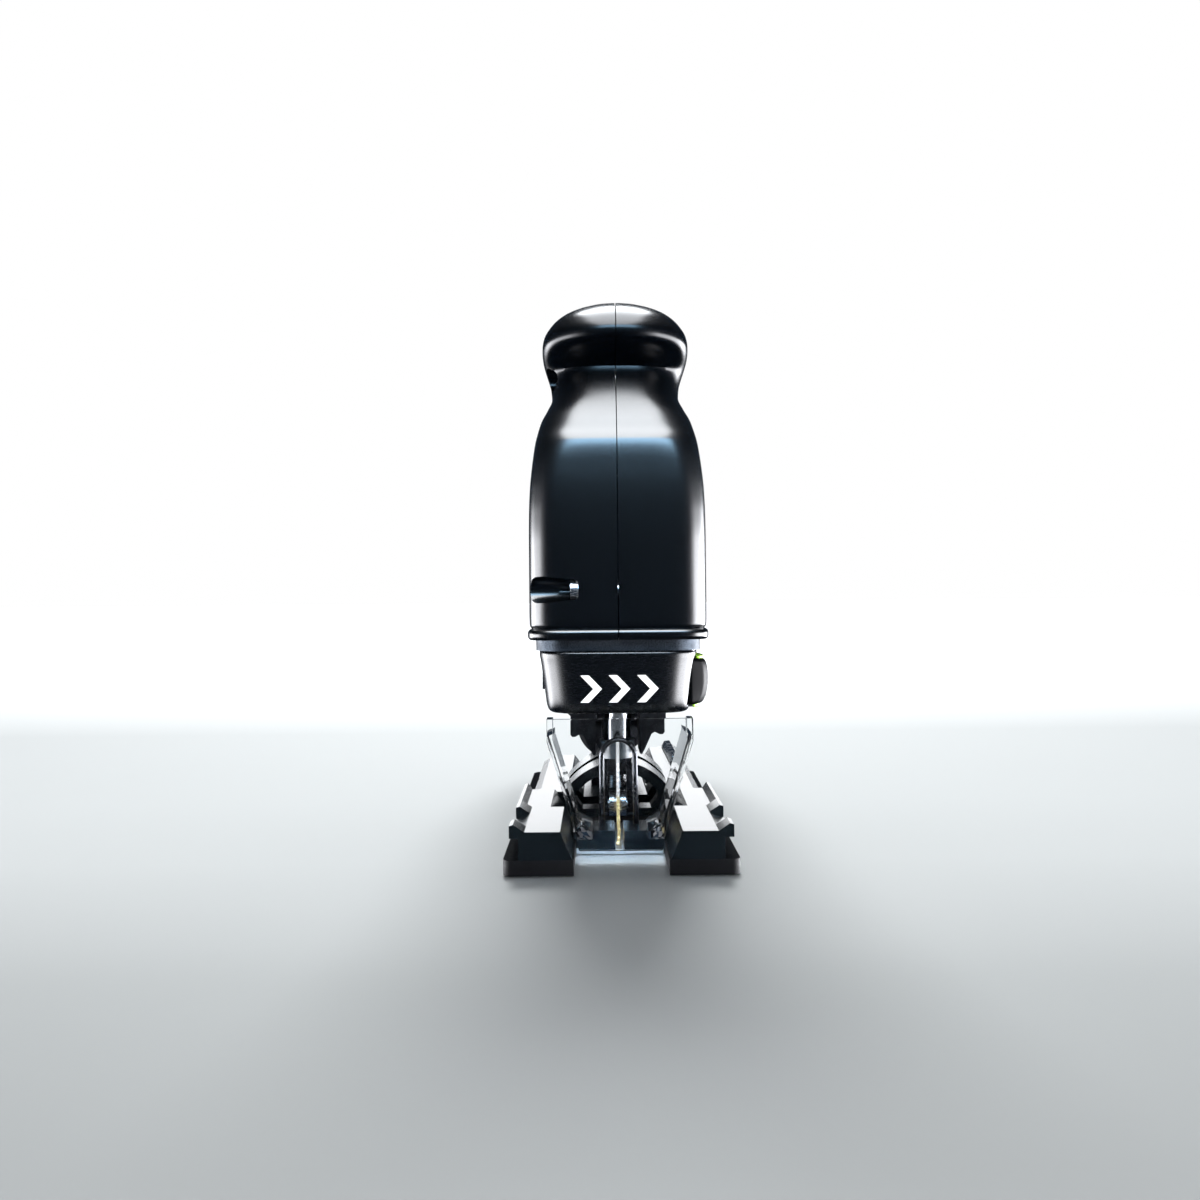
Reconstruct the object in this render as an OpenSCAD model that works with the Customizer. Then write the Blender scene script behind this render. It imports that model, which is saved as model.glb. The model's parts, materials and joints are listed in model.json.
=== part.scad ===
// Barrel-grip corded jigsaw. +Y runs to the rear, +Z up, +X to the operator's right when facing the front.
// Heights are measured from the running face of the base; stations run back from the front edge of the base.

/* [Base] */
// Width of the base over the runners
base_w = 76; // [70:1:84]
// Length of the base plate
base_l = 168; // [150:1:180]
// Thickness of the replaceable sole
sole_t = 5; // [3:0.5:6]

/* [Housing] */
// Overall length from the front of the base to the inlet socket
overall_l = 262; // [255:1:270]
// Half width of the housing above the gear head
house_hw = 30.7; // [30:0.1:32]
// Wall thickness of the moulded shells
wall = 2.6; // [2:0.1:3]

/* [Drive] */
// Stroke of the blade
stroke = 26; // [20:1:26]
// Height of the motor axis
motor_z = 121; // [120:0.5:122]
// Radius of the crank pin circle
crank_r = 13; // [10:0.5:13]

/* [Blade] */
// Blade thickness
blade_t = 1.3; // [1:0.1:1.7]
// Blade width, teeth to back
blade_w = 8; // [6:0.5:9]

/* [Hidden] */
yf = -overall_l/2;
crank_z = motor_z - 25;
pl_d = 50;
E = 0.01;

// ---- helpers: cylinders along each axis at (x, station, z)
module xc(r, x0, x1, d, z, f=48) translate([x0, yf+d, z]) rotate([0,90,0]) cylinder(r=r, h=x1-x0, $fn=f);
module yc(r, d0, d1, x, z, f=64) translate([x, yf+d0, z]) rotate([-90,0,0]) cylinder(r=r, h=d1-d0, $fn=f);
module zc(r, z0, z1, x, d, f=48) translate([x, yf+d, z0]) cylinder(r=r, h=z1-z0, $fn=f);
module bx(x0,x1,d0,d1,z0,z1) translate([x0, yf+d0, z0]) cube([x1-x0, d1-d0, z1-z0]);
// polygon in the X-Z plane run back from station d0 to d1
module xz(p, d0, d1) translate([0, yf+d1, 0]) rotate([90,0,0]) linear_extrude(height=d1-d0) polygon(p);
// polygon in the station-Z plane from x0 to x1
module dz(p, x0, x1) translate([x0, yf, 0]) rotate([90,0,90]) linear_extrude(height=x1-x0) polygon(p);
// polygon in the X-station plane from z0 to z1
module xd(p, z0, z1) translate([0, yf, z0]) linear_extrude(height=z1-z0) polygon(p);
module both() { children(); mirror([1,0,0]) children(); }
function ring_pts(n, r, a0=0, a1=360) = [for (i=[0:n]) let(a=a0+(a1-a0)*i/n) [r*cos(a), r*sin(a)]];
function gear_pts(n, ri, ro) = [for (i=[0:n-1]) each [for (q=[[0.0,ri],[0.30,ri],[0.42,ro],[0.72,ro],[0.84,ri]]) let(a=360*(i+q[0])/n) [q[1]*cos(a), q[1]*sin(a)]]];

// ---- section tables: [z, half width, front station, rear station, corner exponent]
front_tab = [[74,31.0,19.8,88,9],[75,31.4,19.4,88,9],[77.2,31.4,19.4,89,9],[78,30.3,20.4,90,9],[79,30.7,20.1,90,9],[84,30.8,20,94,9],[112,30.8,20,98,9],[124,30.6,20.1,97,8.4],
 [134,29.7,20.3,95,7.4],[143.4,28.6,20.5,92,6],[147,27.7,22.8,90,5.2],[151,26.4,25.4,88,4.4],[155.5,24.3,28.3,84,3.6],[160.5,22.9,31.4,80,3],
 [164,23.2,33.4,76,2.7],[166.6,23.8,34,73,2.55],[169,24.5,32.4,70.5,2.45],[171.5,25.1,28.6,68.5,2.4],[174.5,25.6,25,66.5,2.4],[178,25.5,23.2,65.4,2.35],
 [180.5,25,23.2,64.8,2.3],[184.6,22.6,25,62.8,2.2],[188.6,18.2,29,59,2.1],[191.2,12.4,33.5,54,2],[193,5.6,39,48,2]];
// barrel: [station, half width, bottom z, top z, exponent]
barrel_tab = [[62,29,80,146,3.4],[74,30.2,78.6,150.6,3.3],[86,30.6,81,152.4,3.1],[100,30.2,85.6,153.4,2.9],[120,29.4,90,154.4,2.7],[150,29.2,92.2,155,2.6],
 [180,29.6,91.6,154,2.7],[206,30,89.6,151.4,2.9],[226,29.4,88.6,147.8,3.1],[238,26.8,90.6,143.4,3.1],[243.4,22.6,95,138.4,2.9],[245.2,17,101,131.6,2.7]];
function spow(v, e) = (v < 0 ? -1 : 1) * pow(abs(v), e);
function fsec(t, n, o) = let(w=t[1]-o, c=(t[2]+t[3])/2, h=(t[3]-t[2])/2-o, e=2/t[4])
  [for (i=[0:n-1]) let(a=360*(i+0.5)/n) [w*spow(cos(a),e), yf+c+h*spow(sin(a),e), t[0]]];
function bsec(t, n, o) = let(w=t[1]-o, c=(t[2]+t[3])/2, h=(t[3]-t[2])/2-o, e=2/t[4])
  [for (i=[0:n-1]) let(a=360*(i+0.5)/n) [w*spow(cos(a),e), yf+t[0], c+h*spow(sin(a),e)]];
module loft(secs, flip=false) {
  n = len(secs[0]); m = len(secs);
  pts = [for (s=secs) each s];
  side = [for (j=[0:m-2]) for (i=[0:n-1]) each let(a=j*n+i, b=j*n+(i+1)%n, c=(j+1)*n+(i+1)%n, d=(j+1)*n+i) flip ? [[a,b,c],[a,c,d]] : [[a,c,b],[a,d,c]]];
  lo = [for (i=[0:n-1]) flip ? n-1-i : i];
  hi = [for (i=[0:n-1]) (m-1)*n + (flip ? i : n-1-i)];
  polyhedron(points=pts, faces=concat(side, [lo, hi]));
}
NS = 28;
module front_solid(o=0, cut=0) loft([for (t=front_tab) if (t[0] <= 193-cut) fsec(t, NS, o)]);
module barrel_solid(o=0, c0=0, c1=0) loft([for (i=[c0:len(barrel_tab)-1-c1]) bsec(barrel_tab[i], NS, o)], true);
module outer_solid() { front_solid(); barrel_solid(); }

// ---- clamshell screws: [station, z]
scr = [[23.6,91.2],[46,167],[78,146.4],[101,92.6],[176,147.2],[204,96.6],[233,136.5]];
module screw_boss(p) { xc(6.2, -31, -12.4, p[0], p[1], 28); xc(4.4, -12.5, 31, p[0], p[1], 24); }
module housing_body() {
  difference() {
    union() {
      difference() { outer_solid();
        front_in(); barrel_solid(wall, 0, 1); }
      intersection() { outer_solid();
        union() {
          for (p=scr) screw_boss(p);
          // stator seats, rear bearing wall, rear wall carrier
          for (q=[[115,119],[145,149]]) difference() { bx(-32,32,q[0],q[1],80,160); yc(25.62,q[0]-1,q[1]+1,0,motor_z,48); }
          difference() { bx(-32,32,200,208,80,160); yc(10.05,199,209,0,motor_z,40);
            bx(-10,10,199,209,133.4,139.4); bx(-26,-12,199,209,90,112); }
        } }
    }
    // seat faces and clearances
    bx(-40,40,0,262,60,74);
    for (p=scr) { xc(4.3, -40, -13.6, p[0], p[1], 36); xc(2.0, -14, 12.2, p[0], p[1], 20); }
    // pockets for the switch pads, the speed dial, the inlet, the orbit knob, and dust-cooling slots
    both() bx(24,40,156.4,182,132,140.4);
    bx(-3.4,3.4,205.6,222.4,141,160);
    bx(-6.8,6.8,211,217,140,147.8);
    yc(10.6, 236, 262, 0, 117, 40);
    for (i=[0:6]) both() bx(20,40,186+i*5,188.4+i*5,106,128-abs(i-3)*2);
    for (i=[0:4]) both() bx(22,40,92+i*4.4,94.2+i*4.4,98,112);
  }
}
module front_in() {
  // hollow of the front housing: follows the shell one wall inside, open below
  loft([for (t=front_tab) if (t[0] < 190) let(s=(t[0]==74)?[73,t[1],t[2],t[3],t[4]]:t) fsec(s, NS, wall)]);
}
module housing_left() color([0.07,0.08,0.10]) resize([0,0,0]) intersection() { housing_body(); bx(-60,0,0,262,60,200); }
module housing_right() color([0.07,0.08,0.10]) resize([0,0,0]) intersection() { housing_body(); bx(0,60,0,262,60,200); }
module housing_screws() color("silver") for (p=scr) difference() {
  union() { xc(3.4, -16.2, -13.6, p[0], p[1], 32); xc(1.95, -13.7, 11.6, p[0], p[1], 24); }
  translate([-16.6, yf+p[0], p[1]]) rotate([0,90,0]) cylinder(r=1.7, h=1.8, $fn=6); }

// soft layer over the top and flanks of the barrel
module grip_cover() color([0.05,0.055,0.07]) resize([0,0,0]) difference() {
  intersection() { union() { barrel_grown(); } bx(-40,40,108,152,122,170); }
  outer_solid(); 
}
module barrel_grown() loft([for (i=[3:7]) let(t=barrel_tab[i]) bsec([t[0],t[1],t[2],t[3],t[4]], NS, -1.2)], true);

// ---- gear head casting
module head_sec(z0,z1,hw,d0,d1,c) xd([[-hw+c,d0],[hw-c,d0],[hw,d0+c],[hw,d1],[-hw,d1],[-hw,d0+c]], z0, z1);
module rrect(z0,z1,hw,d0,d1,r) translate([0,yf,z0]) linear_extrude(height=z1-z0) union() {
  translate([-hw+r,d0]) square([2*hw-2*r, d1-d0]); translate([-hw,d0+r]) square([2*hw, d1-d0-2*r]);
  for (sx=[-1,1]) for (dd=[d0+r,d1-r]) translate([sx*(hw-r), dd]) circle(r=r, $fn=48); }
module gear_case() color([0.55,0.56,0.58]) difference() {
  union() {
    rrect(70.3, 74, 28.6, 22.4, 88, 10);            // visible ring between housing and cover
    rrect(49.4, 70.4, 22.4, 26.4, 86, 5);            // head block inside the cover
    rrect(73.9, 132, 26.6, 41, 83, 4);               // gear housing
    yc(15, 82.9, 95, 0, motor_z);                    // front bearing neck
    zc(10.5, 131.9, 136, 0, pl_d);                   // upper bush boss
    // keel down to the tilt saddle
    xz([[-3.7,24.2],[3.7,24.2],[9,33.5],[22,47],[22,49.5],[-22,49.5],[-22,47],[-9,33.5]], 70, 108);
    bx(-24,24,84,108,49.4,70.4);
    // legs that carry the fork pivot
    both() xz([[8.2,37],[13,41.4],[20.4,49.5],[8.2,49.5]], 60, 70.2);
    // cheeks beside the blade clamp, cut back for the rails at full tilt
    both() xz([[8,49.5],[8,31.4],[8.8,31],[9.8,32.6],[12.4,38.2],[13.6,38.9],[15.4,38],[16.6,38],[17.2,38.8],[17.2,49.5]], 44, 58);
  }
  // crank chamber, motor nose, shafts
  bx(-24.2,24.2,42.3,73,69.6,129.4);
  bx(-12,12,43,60,60,70);
  bx(-24.2,24.2,73,81.4,92,129.4);
  yc(11.05, 85, 96, 0, motor_z);
  yc(6.2, 80, 97, 0, motor_z);
  yc(3.5, 72.9, 83.1, 0, crank_z);                     // gear axle press seat
  zc(8.55, 128, 137, 0, pl_d);
  zc(8.55, 52, 60.1, 0, pl_d);
  zc(9.55, 49, 52.1, 0, pl_d);
  // tilt saddle and screw thread
  yc(24.3, 69, 109, 0, 0);
  zc(3.0, 23, 46, 0, 88);
  // fork pivot and lever pin
  xc(2.0, -21, 21, 65, 43.6);
  zc(1.75, 70, 73, 25, 31);
  bx(15.4, 24, 24, 47, 49, 68.9);                     // lever well
  // cover screws
  both() xc(1.5, 13.6, 23, 55.5, 63, 24);
  bx(-25,-18.8,60.5,76.5,50.8,69.2);                  // selector pocket
}

// ---- head cover: tapered shell, rounded front corners and lower edge
cov_tab = [[48.8,23.6,23.4,84.6],[50,24.9,21.6,86],[53,25.5,20.8,86.6],[60,26.4,20.4,87],[66,27.3,20.2,87.2],[70,27.9,20.1,87.4]];
function csec(t, n, o) = let(w=t[1]-o, f=t[2]+o, b=t[3], c=(f+b)/2, h=(b-f)/2, e=2/6)
  [for (i=[0:n-1]) let(a=360*(i+0.5)/n) [w*spow(cos(a),e), yf+c+h*spow(sin(a),e), t[0]]];
module head_cover() color([0.04,0.045,0.05]) resize([0,0,0]) difference() {
  loft([for (t=cov_tab) csec(t, 40, 0)]);
  // hollow with a floor lip, open at the top and the rear
  rrect(47, 71, 22.8, 26, 90, 5.2);
  bx(-30,30,60,90,47,71);
  bx(15.4,40,25.2,50.4,49.8,68.8);                     // window for the lever
  zc(2.0, 66, 71, 25, 31, 32);
  mark(21.42, 0.02); translate([0,-0.6,0]) mark(21.2, 0.02);
  both() { xc(1.7, 20, 29, 55.5, 63, 24); xc(3.4, 25.4, 29, 55.5, 63, 32); }
}
module head_cover_screws() color("silver") both() difference() {
  union() { xc(3.0, 25.4, 26.6, 55.5, 63, 32); xc(1.45, 14.4, 25.5, 55.5, 63, 24); }
  xc(1.5, 25.9, 28, 55.5, 63, 6); }
// generic raised chevrons on the front face
module direction_mark() color("white") mark(21.4, 0);
module mark(d1, g) for (k=[0,1,2]) translate([k*9.6-9.6, yf+d1, 57.6])
  rotate([90,0,0]) linear_extrude(height=d1-20.25) polygon([[-3.5-g,-4.6-g],[-0.6+g,-4.6-g],[3.8+g*1.4,0],[-0.6+g,4.6+g],[-3.5-g,4.6+g],[0.9-g*1.4,0]]);

// ---- blade release lever on the right flank of the head, hinged on a vertical pin
module release_lever() color([0.06,0.06,0.07]) difference() {
  union() {
    zc(4.4, 51.2, 67.4, 25, 31);
    translate([0,yf,51.2]) linear_extrude(height=16.2) polygon([[25,26.6],[29.4,28],[31.2,31],[31.6,36],[31.2,44],[29.8,47.6],[27.6,49],[26.6,45],[25.6,38],[22,34]]);
  }
  zc(1.75, 50, 69, 25, 31);
}
module lever_trim() color([0.55,0.85,0.1]) both_z() translate([0,yf,0]) linear_extrude(height=0.9) polygon([[28,28.2],[29.3,28.6],[30.9,31.2],[31.3,36],[30.9,44],[29.6,47.3],[27.8,48.6],[27.0,45],[26.9,38],[28,33]]);
module both_z() { translate([0,0,50.3]) children(); translate([0,0,67.4]) children(); }
module lever_pin() color("silver") zc(1.7, 50.4, 72.6, 25, 31);

// ---- orbit selector on the left flank
module orbit_selector() color([0.06,0.06,0.07]) { xc(7.4, -26.8, -24.4, 68.5, 60); xc(5.4, -24.5, -19.2, 68.5, 60);
  bx(-28.4,-26.7,67,70,53.6,66.4); }

// ---- switch
module switch_pads() color([0.55,0.85,0.1]) both() { bx(27.2,31.4,163,175.6,133,139.4); bx(24.6,27.3,165,172,134.6,137.4); }
module switch_bridge() color([0.1,0.1,0.11]) { bx(-24.6,24.6,165,172,134.6,137.4); bx(-2.5,2.5,171.9,211.6,134.6,137.4); }
module switch_module() color([0.12,0.12,0.13]) difference() { bx(-9,9,209.6,227.8,100,137.8); bx(-3.2,3.2,209,220.6,134.0,139.0); }
module speed_dial() color([0.1,0.1,0.11]) difference() { xc(7.6, -2.6, 2.6, 214, 146, 36); xc(1.75, -3, 3, 214, 146); 
  for (a=[0:30:330]) translate([-3, yf+214+8.0*cos(a), 146+8.0*sin(a)]) rotate([0,90,0]) cylinder(r=0.9,h=6,$fn=12); }
module control_board() color([0.05,0.25,0.12]) { bx(-24,-22.2,209.2,227,104,132); for (i=[0,1,2]) bx(-22.3,-15,210+i*5.6,213.6+i*5.6,108,120);
  // speed dial pin and its bracket
  bx(-22.3,-10,211.6,216.4,130.4,132); bx(-12,-10,211.6,216.4,130.4,141); bx(-12,-4.2,211.6,216.4,139.2,141);
  bx(-6.2,-4.2,211.6,216.4,139.2,147.2); bx(4.2,6.2,211.6,216.4,138,147.2); xc(1.7, -4.4, 4.4, 214, 146, 24); }

// ---- inlet socket and pins
module inlet_socket() color([0.08,0.08,0.09]) difference() {
  union() { yc(10.4, 240, 262, 0, 117); yc(13, 239.6, 243.2, 0, 117); }
  yc(7.6, 246, 263, 0, 117);
  for (s=[-1,1]) yc(1.2, 236, 250, s*3.6, 117, 24);
}
module inlet_pins() color([0.8,0.7,0.35]) for (s=[-1,1]) yc(1.15, 236.4, 257, s*3.6, 117, 24);

// ---- motor
module stator_stack() color([0.45,0.45,0.47]) difference() { yc(25.5, 112, 152, 0, motor_z); yc(16.6, 111, 153, 0, motor_z);
  for (a=[0,180]) translate([0,yf,motor_z]) rotate([0,a,0]) translate([16,111,-7]) cube([7,42,14]); }
module field_coils() color([0.72,0.36,0.12]) for (a=[0,180]) translate([0,yf,motor_z]) rotate([0,a,0]) {
  translate([17.2,105.5,-6.8]) cube([5.6,53,13.6]);
  for (q=[105.5,152.2]) translate([0,q,0]) rotate([-90,0,0]) difference() { cylinder(r=23.6,h=6.3,$fn=64); translate([0,0,-1]) cylinder(r=17.2,h=9,$fn=64); translate([-30,-30,-1]) cube([30,60,9]); translate([-1,15,-1]) cube([30,20,9]); translate([-1,-35,-1]) cube([30,20,9]); } }
module armature_shaft() color("silver") { yc(4, 80, 208, 0, motor_z, 32); yc(2.5, 60.4, 80.1, 0, motor_z, 32); }
module armature_stack() color([0.5,0.5,0.52]) difference() { yc(16, 112, 152, 0, motor_z); yc(4, 111, 153, 0, motor_z, 32);
  for (a=[0:30:330]) translate([0,yf,motor_z]) rotate([0,a,0]) translate([13.4,111,-1.1]) cube([4,42,2.2]); }
module commutator() color([0.75,0.42,0.2]) difference() { yc(11.5, 178, 192, 0, motor_z); yc(4, 177, 193, 0, motor_z, 32);
  for (a=[0:20:340]) translate([0,yf,motor_z]) rotate([0,a,0]) translate([10.6,177,-0.25]) cube([2,16,0.5]); }
module fan() color([0.1,0.1,0.11]) difference() { union() { yc(7, 96.4, 103.6, 0, motor_z); yc(23.4, 102.2, 103.6, 0, motor_z);
  for (a=[0:30:330]) translate([0,yf,motor_z]) rotate([0,a,0]) translate([6,96.6,-0.7]) cube([17,5.7,1.4]); }
  yc(4, 95, 105, 0, motor_z, 32); }
module brg(ro, ri, d0, d1, z) difference() { yc(ro, d0, d1, 0, z); yc(ri, d0-1, d1+1, 0, z, 32);
  for (q=[d0,d1]) difference() { yc((ro+ri)/2+1.3, q-0.5, q+0.5, 0, z); yc((ro+ri)/2-1.3, q-1, q+1, 0, z, 32); } }
module front_bearing() color("silver") brg(11, 4.03, 86.4, 93.4, motor_z);
module rear_bearing() color("silver") brg(10, 4.03, 200.6, 207.4, motor_z);
module brush_holders() color([0.72,0.62,0.3]) both() difference() { bx(12.6,26.6,180,190,motor_z-5,motor_z+5); bx(12,25.4,182,188,motor_z-3.6,motor_z+3.6); }
module brushes() color([0.2,0.2,0.22]) both() difference() { bx(11.8,22,182,188,motor_z-3.6,motor_z+3.6); yc(11.82, 181, 189, 0, motor_z); }

// ---- gear train and scotch yoke
module pinion() color("silver") translate([0,yf,motor_z]) difference() { rotate([-90,0,0]) translate([0,0,62.4]) linear_extrude(height=9.4) polygon(gear_pts(8,3.1,4.1)); 
  rotate([-90,0,0]) cylinder(r=2.5,h=90,$fn=32); }
module drive_gear() color([0.6,0.6,0.62]) translate([0,yf,crank_z]) rotate([-90,0,0]) difference() {
  union() { translate([0,0,63]) linear_extrude(height=8.2) polygon(gear_pts(41,19.5,20.55)); translate([crank_r,0,59.2]) cylinder(r=3,h=4,$fn=32); translate([crank_r,0,55.5]) cylinder(r=2.2,h=3.8,$fn=32); translate([0,0,71.1]) cylinder(r=6.8,h=0.7,$fn=40); }
  translate([0,0,61]) cylinder(r=5.5,h=12,$fn=40);
  for (a=[60,120,180,240,300]) rotate([0,0,a]) translate([13.5,0,61]) cylinder(r=3.4,h=12,$fn=32); }
module gear_axle() color("silver") union() { yc(3.5, 60.8, 83, 0, crank_z, 40); }
module gear_bearing() color([0.7,0.6,0.35]) difference() { yc(5.5, 63.2, 71.8, 0, crank_z, 40); yc(3.53, 61, 73, 0, crank_z, 40); }
module crank_roller() color("silver") translate([0,yf,crank_z]) rotate([-90,0,0]) translate([crank_r,0,59.4]) difference() { cylinder(r=4.8,h=3.3,$fn=40); translate([0,0,-1]) cylinder(r=3.04,h=8,$fn=32); }
module plunger() color("silver") difference() { zc(5, 36, 146.5, 0, pl_d); zc(3.6, 35, 56, 0, pl_d); }
module yoke() color([0.5,0.5,0.52]) difference() {
  union() { bx(-21.5,21.5,55.6,59,crank_z-9.2,crank_z+9.2);
    for (z=[crank_z-9.2,crank_z+5.6]) { zc(7.2, z, z+3.6, 0, pl_d); bx(-7,7,pl_d,55.7,z,z+3.6); } }
  bx(-18.2,18.2,54,61,crank_z-5.2,crank_z+5.2);
  zc(5, 80, 112, 0, pl_d);
}
module bush(z0,z1) difference() { zc(8.5, z0, z1, 0, pl_d); zc(5.04, z0-1, z1+1, 0, pl_d); }
module upper_bush() color([0.72,0.55,0.3]) bush(128.6,136);
module lower_bush() color([0.72,0.55,0.3]) bush(52.1,59.9);
module plunger_seal() color([0.1,0.1,0.1]) difference() { zc(9.5, 49.5, 52, 0, pl_d); zc(5.4, 46, 53, 0, pl_d); zc(8, 49, 50.2, 0, pl_d); }

// ---- blade and its clamp
module blade_clamp() color([0.3,0.3,0.32]) difference() {
  union() { zc(6.5, 29.6, 36, 0, pl_d); zc(3.5, 35.9, 46, 0, pl_d); }
  translate([-0.75, yf+pl_d-7, 29]) cube([1.5, 8.6, 7.2]);
  translate([-0.75, yf+pl_d-3.1, 36]) cube([1.5, 4.6, 11]);
}
module clamp_spring() color("silver") loft([for (k=[0:72]) let(a=k*20, z=47.6+k*7.4/72)
  [for (i=[0:5]) let(b=60*i) [(3.0+0.36*cos(b))*cos(a), yf+pl_d+(3.0+0.36*cos(b))*sin(a), z+0.36*sin(b)]]]);
// teeth point up the stroke at the front edge
nt = 15;
module blade() color([0.85,0.85,0.82]) translate([-blade_t/2, yf, 0]) rotate([90,0,90]) linear_extrude(height=blade_t) polygon(concat(
  [[pl_d+1, 45.6],[pl_d+1,36.2],[pl_d+1,3.4],[pl_d-2.4,0.5],[pl_d-blade_w+1.4,0.5]],
  [for (i=[0:nt-1]) each [[pl_d-blade_w+2.2, 1.0+i*1.8],[pl_d-blade_w+1, 2.4+i*1.8]]],
  [[pl_d-blade_w+2, 29.4],[pl_d-blade_w+2,35.8],[pl_d-2.6,36.4],[pl_d-2.6,45.6]]));

// ---- pendulum guide behind the blade
rk_d = 55.9; rk_z = 11.2;
module roller_fork() color([0.35,0.35,0.37]) difference() {
  union() {
    both() dz([[53,8.4],[59,6.2],[64,9],[68,30],[68,47.2],[62,47.2],[62,31],[59.4,16],[53,14.4]], 3.6, 5.6);
    bx(-5.6,5.6,64,68,20,44);
    xc(3.6, -7.6, 7.6, 65, 43.6);
  }
  xc(2.03, -9, 9, 65, 43.6);
  xc(1.6, -7, 7, rk_d, rk_z, 32);
}
module guide_roller() color("silver") difference() { xc(4.6, -3.1, 3.1, rk_d, rk_z); xc(1.63, -4, 4, rk_d, rk_z, 32);
  difference() { xc(6, -0.95, 0.95, rk_d, rk_z); xc(4.4, -1, 1, rk_d, rk_z); } }
module roller_pin() color("silver") xc(1.58, -5.6, 5.6, rk_d, rk_z, 32);
module fork_pivot_pin() color("silver") xc(2.0, -12.9, 12.9, 65, 43.6);
// ---- base
module runner_sec(d0,d1,lip) {
  // inner wall leans out so that the head clears at full tilt
  xz([[15.8,sole_t],[33,sole_t],[33,12],[35.9,12], [35.9,lip?16:12.4], [34.6,lip?16.4:12.8], [31,14], [19.6,14]], d0, d1);
}
module base_table() color([0.16,0.17,0.19]) difference() {
  union() {
    both() {
      runner_sec(0,9,true); runner_sec(8.9,29,false); 
      runner_sec(28.9,40,true);
      xz([[15.4,sole_t],[33,sole_t],[33,12],[35.9,12],[35.9,16],[34.6,16.4],[33,14],[24.4,14]], 39.9, 74);
      xz([[12.4,sole_t],[33,sole_t],[33,11],[30,13],[18.4,13]], 73.9, 160);
    }
    bx(-16,16,27,42,2.2,8);                              // front bridge
    bx(-16,16,72,160,sole_t-2.4,sole_t+0.6);                     // web behind the opening
    // tilt arch
    difference() { xz(concat(ring_pts(40,24,34,146), [for (i=[40:-1:0]) let(a=34+112*i/40) [20*cos(a),20*sin(a)]]), 70, 106); 
      xz([[0,0],[30*sin(-50),30*cos(50)],[-14,34],[14,34],[30*sin(50),30*cos(50)]], 84.7, 91.3); }
    both() bx(15.8,19.8,70,106,sole_t,13.4);
  }
  bx(-1.5,1.5,26,43,0,9);                              // blade slot in the bridge
  bx(-15.2,15.2,26.9,41.6,0,2.3);
  bx(-9,9,122,150,1,8);                              // dust duct floor
  // bores of the sole screws and the parallel guide
  both() for (d=[18,60,150]) zc(1.6, 0, 11, 27, d, 24);
  bx(-50,50,109.6,115.6,6.2,11.2);
  // run of the clamp screw through the arch and the tops of its legs
  xz([[-21.55,14.54],[-15.75,10.62],[15.75,10.62],[21.55,14.54],[14,34],[-14,34]], 84.7, 91.3);
  zc(6.4,0,7,0,88);
  yc(19.9, 80.6, 95.4, 0, 0);                          // room for the screw head and washer at full tilt
  yc(2.7, 117.5, 158.5, 27, 13.6, 32);                  // clip groove of the hex key
}
module running_sole() color([0.02,0.02,0.02]) difference() {
  translate([0,yf,0]) linear_extrude(height=sole_t) union() {
    translate([-38,4]) square([76, base_l-8]); translate([-34,0]) square([68,10]); translate([-34,base_l-8]) square([68,8]);
    for (s=[-1,1]) for (q=[4,base_l-4]) translate([s*34,q]) circle(r=4,$fn=48);
  }
  bx(-15.3,15.3,-1,41.8,-1,6);                            // front notch
  xz([[-10,-1],[10,-1],[10,0],[15.2,sole_t+1],[-15.2,sole_t+1],[-10,0]], 41.6, 72);
  bx(-16.2,16.2,26.9,42.1,2.2,6);
  bx(-16.2,16.2,71.9,160.2,sole_t-2.4,6);
  bx(-9,9,122,150,-1,8);
  zc(6.4,-1,7,0,88);
  both() for (d=[18,60,150]) { zc(1.6, -1, 11, 27, d, 24); zc(2.9, -1, 2.2, 27, d, 24); }
}
module sole_screws() color("silver") both() for (d=[18,60,150]) difference() { union() { zc(1.55, 2, 10, 27, d, 24); zc(2.8, 0.6, 2.15, 27, d, 24); }
  translate([27,yf+d,0.5]) cylinder(r=1.2,h=1,$fn=6); }
module splinter_guard() color([0.75,0.8,0.78]) difference() { bx(-15,15,27,41.5,0.2,2.15); bx(-0.95,0.95,33,43,-1,3); bx(-1.4,1.4,28.5,33,-1,3); }
// clear guard: front pane and two side panes, riding on the base
module chip_guard() color([0.85,0.9,0.92,0.4]) intersection() {
  union() {
    xz([[-14,4.9],[14,4.9],[14,8.5],[-14,8.5]], 12, 13.8);
    xz([[-14.2,8.4],[14.2,8.4],[24.2,41],[24.2,48.4],[-24.2,48.4],[-24.2,41]], 12, 13.8);
    both() xz([[12.2,8.4],[14.2,8.4],[24.2,41],[24.2,48.4],[22.3,48.4],[22.3,41.2]], 13.7, 34);
  }
  // full height ahead of the head, inside the tilting circle below it
  union() { yc(48.3, 0, 60, 0, 0, 96); bx(-30,30,0,19,0,60); }
}
// bow in front of the blade that keeps fingers away
module finger_bow() color([0.08,0.08,0.09]) difference() {
  union() { yc(6.9, 36, 38.6, 0, 31.7); bx(-6.9,6.9,36,38.6,8,31.7); bx(-6.9,6.9,36,41,8,10.6); }
  yc(5.0, 35, 42, 0, 31.7); bx(-5.0,5.0,35,42,7,31.7);
}
module tilt_screw() color("silver") difference() { union() { zc(2.95, 16.7, 40, 0, 88); zc(5, 11.4, 16.8, 0, 88); } translate([0,yf+88,11]) cylinder(r=2.5,h=3.6,$fn=6); }
module tilt_washer() color("silver") difference() { zc(6.6, 16.9, 18.4, 0, 88); zc(3.05, 16, 20, 0, 88); }
module dust_port() color([0.06,0.06,0.07]) difference() {
  union() { yc(16.6, 140, 178, 0, 30); bx(-10,10,120,150,5.6,20); }
  yc(13.6, 144, 179, 0, 30); bx(-8,8,122,148,4,18); yc(8, 130, 146, 0, 22); }
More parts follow.
